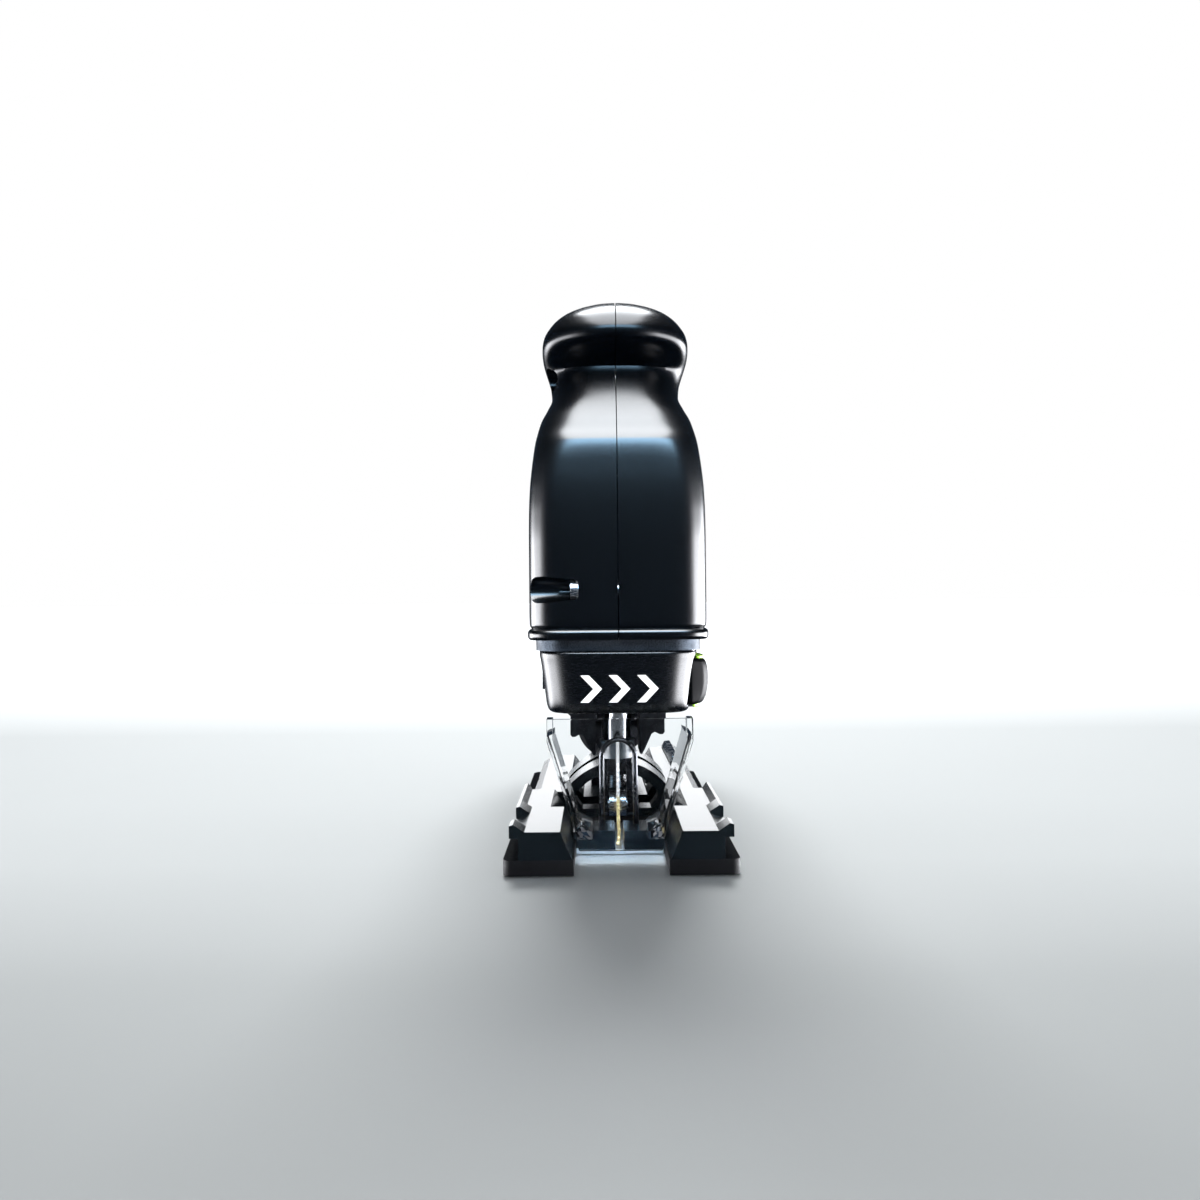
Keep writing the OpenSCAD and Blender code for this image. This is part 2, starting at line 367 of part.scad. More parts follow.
module hex_key() color("silver") { translate([27,yf+118,13.6]) rotate([-90,0,0]) cylinder(r=2.5,h=40,$fn=6); }

housing_left();
housing_right();
housing_screws();
grip_cover();
gear_case();
head_cover();
head_cover_screws();
direction_mark();
release_lever();
lever_trim();
lever_pin();
orbit_selector();
switch_pads();
switch_bridge();
switch_module();
speed_dial();
control_board();
inlet_socket();
inlet_pins();
stator_stack();
field_coils();
armature_shaft();
armature_stack();
commutator();
fan();
front_bearing();
rear_bearing();
brush_holders();
brushes();
pinion();
drive_gear();
gear_axle();
gear_bearing();
crank_roller();
plunger();
yoke();
upper_bush();
lower_bush();
plunger_seal();
blade_clamp();
clamp_spring();
blade();
roller_fork();
guide_roller();
roller_pin();
fork_pivot_pin();
base_table();
running_sole();
sole_screws();
splinter_guard();
chip_guard();
finger_bow();
tilt_screw();
tilt_washer();
dust_port();
hex_key();
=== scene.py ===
import math
import bpy
import bmesh
import numpy as np
from mathutils import Vector, Matrix
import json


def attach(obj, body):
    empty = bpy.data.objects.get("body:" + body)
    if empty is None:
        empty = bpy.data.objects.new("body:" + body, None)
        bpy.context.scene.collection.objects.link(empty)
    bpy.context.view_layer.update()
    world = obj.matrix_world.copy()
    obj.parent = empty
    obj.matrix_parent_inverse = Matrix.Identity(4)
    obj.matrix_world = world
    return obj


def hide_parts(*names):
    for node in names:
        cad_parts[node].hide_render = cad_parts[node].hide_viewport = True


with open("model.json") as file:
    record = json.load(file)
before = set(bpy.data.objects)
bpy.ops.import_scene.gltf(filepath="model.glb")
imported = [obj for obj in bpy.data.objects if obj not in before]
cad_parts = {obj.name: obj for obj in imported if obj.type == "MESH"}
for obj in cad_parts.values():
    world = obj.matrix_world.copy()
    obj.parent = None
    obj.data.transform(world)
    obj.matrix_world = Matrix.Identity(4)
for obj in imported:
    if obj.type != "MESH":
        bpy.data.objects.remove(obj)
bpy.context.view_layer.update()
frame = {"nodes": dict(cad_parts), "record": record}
MM = 0.001
YF = -131.0                      # station 0 in row millimetres


# ------------------------------------------------------------------ small mesh helpers
def new_obj(name, verts, faces, mats=None):
    me = bpy.data.meshes.new(name)
    me.from_pydata([tuple(v) for v in verts], [], [tuple(f) for f in faces])
    me.validate()
    me.update()
    ob = bpy.data.objects.new(name, me)
    bpy.context.scene.collection.objects.link(ob)
    return ob


def apply_mods(ob):
    dg = bpy.context.evaluated_depsgraph_get()
    dg.update()
    ev = ob.evaluated_get(dg)
    me = bpy.data.meshes.new_from_object(ev)
    old = ob.data
    ob.modifiers.clear()
    ob.data = me
    if old.users == 0:
        bpy.data.meshes.remove(old)
    return ob


def drop(*obs):
    for o in obs:
        me = o.data
        bpy.data.objects.remove(o, do_unlink=True)
        if me and me.users == 0:
            bpy.data.meshes.remove(me)


def boolean(ob, other, op="DIFFERENCE", keep=False, solver="MANIFOLD"):
    m = ob.modifiers.new("b", "BOOLEAN")
    m.operation = op
    m.solver = solver
    m.object = other
    bpy.context.view_layer.update()
    n0 = len(ob.data.polygons)
    apply_mods(ob)
    if len(ob.data.polygons) == 0 and solver == "MANIFOLD":
        print("boolean: manifold result empty for", ob.name, op, other.name, n0)
    if not keep:
        drop(other)
    return ob


def join_all(obs, name):
    verts, faces, off = [], [], 0
    for o in obs:
        mw = o.matrix_world
        verts += [mw @ v.co for v in o.data.vertices]
        faces += [[i + off for i in p.vertices] for p in o.data.polygons]
        off += len(o.data.vertices)
    res = new_obj(name, verts, faces)
    drop(*obs)
    return res


def fix_normals(ob):
    bm = bmesh.new()
    bm.from_mesh(ob.data)
    bmesh.ops.recalc_face_normals(bm, faces=bm.faces)
    bm.to_mesh(ob.data)
    bm.free()
    return ob


def shade(ob, deg=32, flat=False):
    """Smooth shading with edges over an angle kept sharp."""
    bm = bmesh.new()
    bm.from_mesh(ob.data)
    lim = math.radians(deg)
    for f in bm.faces:
        f.smooth = not flat
    for e in bm.edges:
        e.smooth = not (len(e.link_faces) == 2 and e.calc_face_angle(0) > lim)
    bm.to_mesh(ob.data)
    bm.free()
    return ob


def bevel(ob, w=0.4, seg=3, deg=30, apply=False, clamp=True):
    m = ob.modifiers.new("bev", "BEVEL")
    m.width = w * MM
    m.segments = seg
    m.limit_method = "ANGLE"
    m.angle_limit = math.radians(deg)
    m.use_clamp_overlap = clamp
    m.miter_outer = "MITER_ARC"
    if apply:
        apply_mods(ob)
    return ob


def P(x, d, z):
    return Vector((x * MM, (YF + d) * MM, z * MM))


def box(name, x0, x1, d0, d1, z0, z1):
    v = [P(x, d, z) for x in (x0, x1) for d in (d0, d1) for z in (z0, z1)]
    f = [(0, 1, 3, 2), (4, 6, 7, 5), (0, 4, 5, 1), (2, 3, 7, 6), (0, 2, 6, 4), (1, 5, 7, 3)]
    return fix_normals(new_obj(name, v, f))


def loft(name, rings, close_ends=True, closed=False):
    """Rings of Vectors with equal counts; quads between them and fan caps."""
    n, m = len(rings[0]), len(rings)
    verts = [p for r in rings for p in r]
    faces = []
    for j in range(m if closed else m - 1):
        k = (j + 1) % m
        for i in range(n):
            faces.append((j * n + i, j * n + (i + 1) % n, k * n + (i + 1) % n, k * n + i))
    if close_ends and not closed:
        faces.append(tuple(range(n))[::-1])
        faces.append(tuple((m - 1) * n + i for i in range(n)))
    return fix_normals(new_obj(name, verts, faces))


def cyl(name, axis, r, a0, a1, u, v, n=48, r2=None, rings=None):
    """Cylinder along 'x', 'y' or 'z' in millimetres; u and v are the other two coordinates in x, d, z order.
    rings may give a list of (position, radius) for a turned profile."""
    prof = rings or [(a0, r), (a1, r if r2 is None else r2)]
    rr = []
    for a, rad in prof:
        ring = []
        for i in range(n):
            t = 2 * math.pi * i / n
            c, s = rad * math.cos(t), rad * math.sin(t)
            if axis == "x":
                ring.append(P(a, u + c, v + s))
            elif axis == "y":
                ring.append(P(u + c, a, v + s))
            else:
                ring.append(P(u + c, v + s, a))
        rr.append(ring)
    return loft(name, rr)


def prism(name, pts, axis, a0, a1):
    """Polygon pts in (x,z) for axis y, (d,z) for axis x, (x,d) for axis z."""
    def q(p, a):
        if axis == "y":
            return P(p[0], a, p[1])
        if axis == "x":
            return P(a, p[0], p[1])
        return P(p[0], p[1], a)
    return loft(name, [[q(p, a0) for p in pts], [q(p, a1) for p in pts]])


def rounded(pts, r, seg=6):
    """Round each corner of a polygon; r is one radius or one for each corner."""
    out, n = [], len(pts)
    for i, p in enumerate(pts):
        rad = r[i] if isinstance(r, (list, tuple)) else r
        a, b, c = Vector(pts[i - 1]), Vector(p), Vector(pts[(i + 1) % n])
        u, v = (a - b), (c - b)
        lu, lv = u.length, v.length
        u.normalize()
        v.normalize()
        ang = u.angle(v)
        if rad <= 0 or ang > math.pi - 0.02:
            out.append(tuple(b))
            continue
        t = min(rad / math.tan(ang / 2), lu * 0.48, lv * 0.48)
        rr = t * math.tan(ang / 2)
        bis = (u + v).normalized()
        cen = b + bis * (rr / math.sin(ang / 2))
        p0, p1 = b + u * t, b + v * t
        a0 = math.atan2(p0.y - cen.y, p0.x - cen.x)
        a1 = math.atan2(p1.y - cen.y, p1.x - cen.x)
        da = (a1 - a0 + math.pi) % (2 * math.pi) - math.pi
        for k in range(seg + 1):
            t2 = a0 + da * k / seg
            out.append((cen.x + rr * math.cos(t2), cen.y + rr * math.sin(t2)))
    return out


def pchip(xs, ys, x):
    """Shape-keeping cubic interpolation."""
    xs, ys, x = np.array(xs, float), np.array(ys, float), np.array(x, float)
    h = np.diff(xs)
    d = np.diff(ys) / h
    m = np.zeros_like(ys)
    m[0], m[-1] = d[0], d[-1]
    for i in range(1, len(xs) - 1):
        if d[i - 1] * d[i] > 0:
            w1, w2 = 2 * h[i] + h[i - 1], h[i] + 2 * h[i - 1]
            m[i] = (w1 + w2) / (w1 / d[i - 1] + w2 / d[i])
    k = np.clip(np.searchsorted(xs, x) - 1, 0, len(xs) - 2)
    t = (x - xs[k]) / h[k]
    return ((2 * t**3 - 3 * t**2 + 1) * ys[k] + (t**3 - 2 * t**2 + t) * h[k] * m[k]
            + (-2 * t**3 + 3 * t**2) * ys[k + 1] + (t**3 - t**2) * h[k] * m[k + 1])


# ------------------------------------------------------------------ node materials
class Mat:
    def __init__(self, name, color, rough, metal=0.0, **kw):
        self.m = bpy.data.materials.new(name)
        self.m.use_nodes = True
        self.nt = self.m.node_tree
        self.nt.nodes.clear()
        self.out = self.nt.nodes.new("ShaderNodeOutputMaterial")
        self.b = self.nt.nodes.new("ShaderNodeBsdfPrincipled")
        self.nt.links.new(self.b.outputs[0], self.out.inputs[0])
        s = self.b.inputs
        s["Base Color"].default_value = (*color, 1)
        s["Roughness"].default_value = rough
        s["Metallic"].default_value = metal
        for k, v in kw.items():
            s[k.replace("_", " ")].default_value = v
        self.co = self.nt.nodes.new("ShaderNodeTexCoord")
        self.bump_in = None
        self.color, self.rough = color, rough

    def node(self, kind, **props):
        n = self.nt.nodes.new(kind)
        for k, v in props.items():
            setattr(n, k, v)
        return n

    def link(self, a, b):
        self.nt.links.new(a, b)

    def coord(self, scale=(1, 1, 1)):
        mp = self.node("ShaderNodeMapping")
        mp.inputs["Scale"].default_value = scale
        self.link(self.co.outputs["Object"], mp.inputs[0])
        return mp.outputs[0]

    def noise(self, scale, detail=3.0, rough=0.55, stretch=(1, 1, 1)):
        n = self.node("ShaderNodeTexNoise")
        n.inputs["Scale"].default_value = scale
        n.inputs["Detail"].default_value = detail
        n.inputs["Roughness"].default_value = rough
        self.link(self.coord(stretch), n.inputs["Vector"])
        return n.outputs[0]

    def voronoi(self, scale, stretch=(1, 1, 1)):
        n = self.node("ShaderNodeTexVoronoi")
        n.inputs["Scale"].default_value = scale
        self.link(self.coord(stretch), n.inputs["Vector"])
        return n.outputs["Distance"]

    def ramp(self, src, p0, c0, p1, c1):
        r = self.node("ShaderNodeValToRGB")
        r.color_ramp.elements[0].position = p0
        r.color_ramp.elements[0].color = (*c0, 1) if len(c0) == 3 else c0
        r.color_ramp.elements[1].position = p1
        r.color_ramp.elements[1].color = (*c1, 1) if len(c1) == 3 else c1
        self.link(src, r.inputs[0])
        return r.outputs[0]

    def bump(self, src, strength, dist_mm):
        b = self.node("ShaderNodeBump")
        b.inputs["Strength"].default_value = strength
        b.inputs["Distance"].default_value = dist_mm * MM
        self.link(src, b.inputs["Height"])
        if self.bump_in is not None:
            self.link(self.bump_in, b.inputs["Normal"])
        self.bump_in = b.outputs[0]
        self.link(self.bump_in, self.b.inputs["Normal"])
        return self

    def vary_rough(self, src, lo, hi):
        r = self.node("ShaderNodeMapRange")
        r.inputs["From Min"].default_value = 0.3
        r.inputs["From Max"].default_value = 0.7
        r.inputs["To Min"].default_value = lo
        r.inputs["To Max"].default_value = hi
        self.link(src, r.inputs["Value"])
        self.link(r.outputs[0], self.b.inputs["Roughness"])
        return self

    def vary_color(self, src, c0, c1, p0=0.35, p1=0.65):
        self.link(self.ramp(src, p0, c0, p1, c1), self.b.inputs["Base Color"])
        return self

    def edge_wear(self, base_out, wear, p0=0.52, p1=0.60):
        """Lighter edges from the mesh's own curvature."""
        g = self.node("ShaderNodeNewGeometry")
        mask = self.ramp(g.outputs["Pointiness"], p0, (0, 0, 0), p1, (1, 1, 1))
        mix = self.node("ShaderNodeMix", data_type="RGBA")
        self.link(mask, mix.inputs[0])
        self.link(base_out, mix.inputs[6])
        mix.inputs[7].default_value = (*wear, 1)
        self.link(mix.outputs[2], self.b.inputs["Base Color"])
        return self


def plastic(name, c, rough=0.42, grain=0.28, grain_scale=2600, spec=0.5, var=0.35):
    m = Mat(name, c, rough, Specular_IOR_Level=spec)
    n = m.noise(90, 4, 0.6)
    hi = tuple(min(1, v * (1 + var) + 0.002) for v in c)
    lo = tuple(v * (1 - var * 0.5) for v in c)
    m.vary_color(n, lo, hi)
    m.vary_rough(m.noise(240, 3), rough - 0.05, rough + 0.06)
    if grain:
        m.bump(m.voronoi(grain_scale), grain, 0.05)
        m.bump(m.noise(grain_scale * 0.55, 2, 0.6), grain, 0.05)
    return m


def steel(name, c, rough=0.28, stretch=(1, 1, 14), aniso=0.0, bump=0.12):
    m = Mat(name, c, rough, 1.0)
    m.vary_rough(m.noise(700, 3, 0.6, stretch), rough - 0.08, rough + 0.1)
    m.vary_color(m.noise(120, 3), tuple(v * 0.86 for v in c), c)
    m.bump(m.noise(1500, 2, 0.6, stretch), bump, 0.01)
    return m


M = {}
m = Mat("moulded_shell", (0.002, 0.0035, 0.006), 0.33, Specular_IOR_Level=0.5)
grain_ = m.noise(1750, 2, 0.6)
m.vary_color(grain_, (0.0004, 0.0010, 0.0020), (0.0018, 0.0036, 0.0066), 0.38, 0.64)
m.vary_rough(m.noise(2100, 2), 0.21, 0.27)
m.bump(m.noise(2300, 1, 0.5), 0.08, 0.012)
# the knob is worn to a quieter sheen than the body
kz = m.node("ShaderNodeSeparateXYZ")
m.link(m.co.outputs["Object"], kz.inputs[0])
kr = m.node("ShaderNodeMapRange")
kr.inputs["From Min"].default_value = 0.150
kr.inputs["From Max"].default_value = 0.168
kr.inputs["To Min"].default_value = 0.5
kr.inputs["To Max"].default_value = 0.20
m.link(kz.outputs[2], kr.inputs["Value"])
m.link(kr.outputs[0], m.b.inputs["Specular IOR Level"])
M["shell"] = m
M["soft_grip"] = plastic("soft_grip", (0.012, 0.013, 0.016), 0.62, 0.35, 1500, 0.4)
m = Mat("gloss_cover", (0.002, 0.003, 0.005), 0.27, Specular_IOR_Level=0.42)
m.vary_color(m.noise(300, 2), (0.0018, 0.0026, 0.0042), (0.0024, 0.0034, 0.0055))
m.vary_rough(m.noise(2200, 2, 0.6, (0.25, 1, 1)), 0.25, 0.285)
M["gloss_cover"] = m
m = Mat("lever_black", (0.002, 0.002, 0.003), 0.45, Specular_IOR_Level=0.08)
m.vary_rough(m.noise(1800, 2), 0.40, 0.50)
m.vary_color(m.noise(500, 2), (0.0015, 0.0015, 0.002), (0.003, 0.003, 0.004))
M["lever_black"] = m
M["dark_plastic"] = plastic("dark_plastic", (0.014, 0.015, 0.018), 0.44, 0.22, 2200, 0.5)
M["accent_green"] = plastic("accent_green", (0.30, 0.62, 0.015), 0.34, 0.12, 2400, 0.5, 0.12)
M["mark"] = plastic("mark_white", (0.86, 0.87, 0.88), 0.45, 0.08, 2600, 0.5, 0.02)
# painted light: the white mark glows faintly (emission 0.22) so it reads bright without a lamp on it
M["mark"].b.inputs["Emission Color"].default_value = (1, 1, 1, 1)
M["mark"].b.inputs["Emission Strength"].default_value = 0.22
M["insert"] = plastic("insert_plastic", (0.62, 0.65, 0.68), 0.35, 0.1, 2600)
M["seal"] = plastic("seal_rubber", (0.012, 0.012, 0.012), 0.8, 0.5, 1800)
m = Mat("sole_plastic", (0.0015, 0.0015, 0.002), 0.5, Specular_IOR_Level=0.1)
m.vary_rough(m.noise(1500, 2), 0.45, 0.58)
m.vary_color(m.noise(700, 2), (0.001, 0.001, 0.0015), (0.002, 0.002, 0.003))
m.bump(m.noise(1500, 2), 0.10, 0.02)
M["sole"] = m
M["board"] = plastic("solder_mask", (0.01, 0.09, 0.035), 0.3, 0.0)
M["carbon"] = plastic("carbon_brush", (0.02, 0.02, 0.021), 0.55, 0.3, 3000)

m = Mat("cast_head", (0.16, 0.165, 0.17), 0.48, 1.0)
# blasted bright above the cover's rim; below it the colour is darker, painted shade for the part that sits in shadow
# inside the guard
gz = m.node("ShaderNodeSeparateXYZ")
m.link(m.co.outputs["Object"], gz.inputs[0])
zr = m.node("ShaderNodeMapRange")
zr.inputs["From Min"].default_value = 0.0692
zr.inputs["From Max"].default_value = 0.0700
m.link(gz.outputs[2], zr.inputs["Value"])
mixc = m.node("ShaderNodeMix", data_type="RGBA")
m.link(zr.outputs[0], mixc.inputs[0])
m.link(m.ramp(m.noise(500, 3, 0.7), 0.38, (0.010, 0.011, 0.013), 0.62, (0.022, 0.024, 0.028)), mixc.inputs[6])
m.link(m.ramp(m.noise(2100, 3, 0.75), 0.36, (0.008, 0.010, 0.013), 0.64, (0.038, 0.045, 0.055)), mixc.inputs[7])
m.link(mixc.outputs[2], m.b.inputs["Base Color"])
m.vary_rough(m.noise(300, 3), 0.42, 0.56)
m.bump(m.noise(1900, 3), 0.35, 0.05)
M["cast_head"] = m

m = Mat("table_coat", (0.012, 0.017, 0.021), 0.26, 0.0, Specular_IOR_Level=0.6, Coat_Weight=0.3, Coat_Roughness=0.15)
m.vary_color(m.noise(900, 2, 0.5), (0.0095, 0.0165, 0.021), (0.0105, 0.018, 0.023))
m.vary_rough(m.noise(900, 2), 0.25, 0.27)
M["table"] = m

M["steel"] = steel("ground_steel", (0.62, 0.63, 0.65), 0.24)
m = Mat("clamp_slate", (0.07, 0.09, 0.105), 0.36, 0.0, Specular_IOR_Level=0.5)
m.vary_color(m.noise(700, 2), (0.055, 0.072, 0.085), (0.085, 0.105, 0.12))
m.vary_rough(m.noise(900, 2), 0.32, 0.4)
M["clamp_slate"] = m
# painted shade: the plunger's steel is much darker than bare steel, standing in for the dark front it reflects
M["ram_steel"] = steel("ram_steel", (0.20, 0.21, 0.23), 0.16, bump=0.06)
M["steel_dark"] = Mat("black_oxide", (0.035, 0.037, 0.042), 0.3, 0.85)
M["steel_dark"].vary_color(M["steel_dark"].noise(400, 3), (0.025, 0.027, 0.031), (0.05, 0.053, 0.06))
M["steel_dark"].vary_rough(M["steel_dark"].noise(300, 3), 0.2, 0.38)
M["steel_dark"].bump(M["steel_dark"].noise(1200, 2), 0.12, 0.02)
M["bronze"] = steel("sintered_bronze", (0.55, 0.36, 0.17), 0.36, (1, 1, 1))
M["copper"] = steel("copper_winding", (0.66, 0.29, 0.12), 0.3, (1, 30, 1), bump=0.5)
M["lamination"] = steel("lamination_stack", (0.22, 0.22, 0.23), 0.45, (1, 40, 1), bump=0.6)
M["brass_part"] = steel("brass_part", (0.74, 0.57, 0.25), 0.25, (1, 1, 8))
m = Mat("blade_steel", (0.80, 0.79, 0.74), 0.3, 1.0)
g = m.node("ShaderNodeSeparateXYZ")
m.link(m.co.outputs["Object"], g.inputs[0])
zr = m.node("ShaderNodeMapRange")
zr.inputs["From Min"].default_value = 0.012
zr.inputs["From Max"].default_value = 0.019
m.link(g.outputs[2], zr.inputs["Value"])
nz = m.node("ShaderNodeMath", operation="ADD")
m.link(zr.outputs[0], nz.inputs[0])
no = m.node("ShaderNodeMath", operation="MULTIPLY_ADD")
m.link(m.noise(260, 2), no.inputs[0])
no.inputs[1].default_value = 0.6
no.inputs[2].default_value = -0.3
m.link(no.outputs[0], nz.inputs[1])
steel = m.ramp(nz.outputs[0], 0.3, (0.78, 0.66, 0.36), 0.7, (0.86, 0.87, 0.88))
m.link(steel, m.b.inputs["Base Color"])
# painted light: the blade glows with its own colour (emission 0.42), straw below about 12 to 19 mm and pale grey above,
# so it reads bright from the front
m.link(steel, m.b.inputs["Emission Color"])
m.b.inputs["Emission Strength"].default_value = 0.42
m.bump(m.noise(1800, 2, 0.6, (1, 1, 0.1)), 0.15, 0.01)
m.b.inputs["Metallic"].default_value = 0.35
M["blade_steel"] = m

m = Mat("clear_guard", (0.985, 0.992, 1.0), 0.01, 0.0, Transmission_Weight=1.0, IOR=1.10)
m.vary_rough(m.noise(160, 3), 0.004, 0.02)
M["clear"] = m


def give(ob, key):
    ob.data.materials.clear()
    ob.data.materials.append(M[key].m)



# ------------------------------------------------------------------ the moulded housing
# z, half width, front station, rear station, corner exponent (as the CAD tables, finer at the shoulder)
FRONT = [(74, 30.5, 20.3, 88, 9), (74.25, 30.95, 19.85, 88, 9), (74.7, 31.25, 19.55, 88, 9), (75.4, 31.4, 19.4, 88.4, 9), (76.5, 31.4, 19.4, 88.8, 9), (77.1, 31.2, 19.6, 89, 9),
         (77.5, 30.75, 20.05, 89.4, 9), (77.75, 30.2, 20.6, 89.6, 9), (78.2, 30.15, 20.65, 90, 9), (78.6, 30.6, 20.2, 90, 9), (79.1, 30.75, 20.05, 90.4, 9),
         (84, 30.9, 20, 94, 9), (108, 30.9, 20, 98, 9), (118, 30.8, 20.15, 97.5, 8.7), (126, 30.5, 20.45, 96.6, 8.2), (134, 29.8, 21.0, 95, 7.4),
         (138.4, 29.3, 21.4, 93.6, 6.7), (142.3, 28.8, 22.0, 92, 6.0), (147, 27.9, 24.4, 90, 5.2), (151, 26.9, 26.3, 88, 4.4),
         (155.5, 24.9, 28.7, 84, 3.6), (160.5, 23.1, 31.4, 80, 3.0), (164.5, 23.4, 33.5, 76, 2.7), (168, 24.3, 35.2, 72, 2.5), (169.8, 24.9, 35.7, 70.6, 2.45),
         (171.4, 25.4, 34.2, 69.4, 2.4), (173.4, 25.9, 29.6, 67.6, 2.4), (175.6, 26.1, 25.6, 66.2, 2.4), (178, 26.0, 23.5, 65.4, 2.35), (180.5, 25.5, 23.2, 64.8, 2.3),
         (184.6, 23.2, 25.0, 62.8, 2.2), (188.6, 19.0, 29, 59, 2.1), (191.2, 13.4, 33.5, 54, 2.0), (192.6, 7.2, 38.2, 49, 2.0), (193, 1.6, 42.2, 44.6, 2.0)]
BARREL = [(62, 29, 80, 146, 3.4), (74, 30.2, 78.6, 150.6, 3.3), (86, 30.6, 81, 152.4, 3.1), (100, 30.2, 85.6, 153.4, 2.9), (120, 29.4, 90, 154.4, 2.7),
          (150, 29.2, 92.2, 155, 2.6), (180, 29.6, 91.6, 154, 2.7), (206, 30, 89.6, 151.4, 2.9), (226, 29.4, 88.6, 147.8, 3.1), (238, 26.8, 90.6, 143.4, 3.1),
          (243.4, 22.6, 95, 138.4, 2.9), (245.2, 17, 101, 131.6, 2.7)]


def col(tab, i, x):
    return pchip([t[0] for t in tab], [t[i] for t in tab], x)


def spow(v, e):
    return math.copysign(abs(v) ** e, v)


def even_ring(w, h, e, n):
    """Points round a superellipse, evenly spaced along its length."""
    t = np.linspace(0, 2 * math.pi, 1441)
    x = np.sign(np.cos(t)) * np.abs(np.cos(t)) ** (2 / e) * w
    y = np.sign(np.sin(t)) * np.abs(np.sin(t)) ** (2 / e) * h
    s = np.concatenate([[0], np.cumsum(np.hypot(np.diff(x), np.diff(y)))])
    q = np.linspace(0, s[-1], n, endpoint=False) + s[-1] / n * 0.5
    return np.interp(q, s, x), np.interp(q, s, y)


def front_loft(name, off, zs, n=200, grow=0.0):
    w, f, r, e = (col(FRONT, i, zs) for i in (1, 2, 3, 4))
    rings = []
    for z, a, b, c, d in zip(zs, w, f, r, e):
        cx, hy = (b + c) / 2, (c - b) / 2
        x, y = even_ring(max(a - off, 0.3), max(hy - off, 0.3), d, n)
        rings.append([P(px, cx + py, z) for px, py in zip(x, y)])
    return loft(name, rings)


def barrel_loft(name, off, ds, n=190):
    w, lo, hi, e = (col(BARREL, i, ds) for i in (1, 2, 3, 4))
    rings = []
    for d, a, b, c, ex in zip(ds, w, lo, hi, e):
        cz, hz = (b + c) / 2, (c - b) / 2
        x, y = even_ring(max(a - off, 0.3), max(hz - off, 0.3), ex, n)
        rings.append([P(px, d, cz + py) for px, py in zip(x, y)])
    return loft(name, rings)


def zs_list(z0, z1, step):
    zs = list(np.arange(z0, z1, step)) + [z1]
    for z in (74.25, 74.7, 75.4, 76.5, 77.1, 77.5, 77.75, 78.2, 78.6, 79.1, 142.3):
        zs = [q for q in zs if abs(q - z) > min(step * 0.45, 0.2)] + [z]
    return sorted(q for q in zs if z0 <= q <= z1)


def blend_junction(ob, reach=10.0, rounds=70, mid=None):
    """Relax the mesh near the line where front and barrel meet, which rounds the inside corner."""
    me = ob.data
    nv = len(me.vertices)
    co = np.empty(nv * 3)
    me.vertices.foreach_get("co", co)
    co = co.reshape(-1, 3)
    mi = np.empty(len(me.polygons), int)
    me.polygons.foreach_get("material_index", mi)
    flag = np.zeros((nv, 2), bool)
    for p, k in zip(me.polygons, mi):
        for v in p.vertices:
            flag[v, min(k, 1)] = True
    on = np.where(flag.all(axis=1))[0]
    if len(on) == 0:
        print("blend: no junction found")
        return
    from mathutils.kdtree import KDTree
    kd = KDTree(len(on))
    for i, v in enumerate(on):
        kd.insert(Vector(co[v]), i)
    kd.balance()
    dist = np.full(nv, 1e9)
    cand = np.where((co[:, 1] > (YF + 55) * MM) & (co[:, 1] < (YF + 125) * MM))[0]
    for v in cand:
        dist[v] = kd.find(Vector(co[v]))[2] / MM
    t = np.clip(1 - dist / reach, 0, 1)
    w = t * t * (3 - 2 * t)
    ed = np.empty(len(me.edges) * 2, int)
    me.edges.foreach_get("vertices", ed)
    ed = ed.reshape(-1, 2)
    act = (w[ed[:, 0]] > 0) | (w[ed[:, 1]] > 0)
    ed = ed[act]
    deg = np.zeros(nv)
    np.add.at(deg, ed[:, 0], 1)
    np.add.at(deg, ed[:, 1], 1)
    deg[deg == 0] = 1
    for _ in range(rounds):
        acc = np.zeros_like(co)
        np.add.at(acc, ed[:, 0], co[ed[:, 1]])
        np.add.at(acc, ed[:, 1], co[ed[:, 0]])
        acc /= deg[:, None]
        co += (acc - co) * (w * 0.6)[:, None]
    me.vertices.foreach_set("co", co.reshape(-1))
    me.update()


def housing_outer(name, off, step=1.0, n=200, soft=True):
    a = front_loft(name, off, zs_list(74 + (0 if off == 0 else -1.0), 193 - off, step), n)
    b = barrel_loft("bar", off, np.arange(64, 245.2 - off + 0.01, step * 1.15), int(n * 0.95))
    for ob, k in ((a, 0), (b, 1)):
        for q in ("m0", "m1"):
            mm_ = bpy.data.materials.get(q) or bpy.data.materials.new(q)
            ob.data.materials.append(mm_)
        for p in ob.data.polygons:
            p.material_index = k
    boolean(a, b, "UNION")
    if soft:
        bm = bmesh.new()
        bm.from_mesh(a.data)
        bmesh.ops.remove_doubles(bm, verts=bm.verts, dist=0.25 * MM)
        bmesh.ops.dissolve_degenerate(bm, edges=bm.edges, dist=0.02 * MM)
        bm.to_mesh(a.data)
        bm.free()
        blend_junction(a)
    return a


SCREWS = [(23.6, 91.2), (46, 167), (78, 146.4), (101, 92.6), (176, 147.2), (204, 96.6), (233, 136.5)]

shell = housing_outer("shell", 0.0)
inner = housing_outer("inner", 2.6, 2.0, 110, soft=False)
groove_in = housing_outer("gin", 0.7, 1.6, 140, soft=True)
groove = box("groove", -0.2, 0.2, 0, 262, 60, 200)
boolean(groove, groove_in)
boolean(shell, inner)
boolean(shell, groove)
# open underside
boolean(shell, box("cut", -40, 40, 0, 100, 60, 74.0))

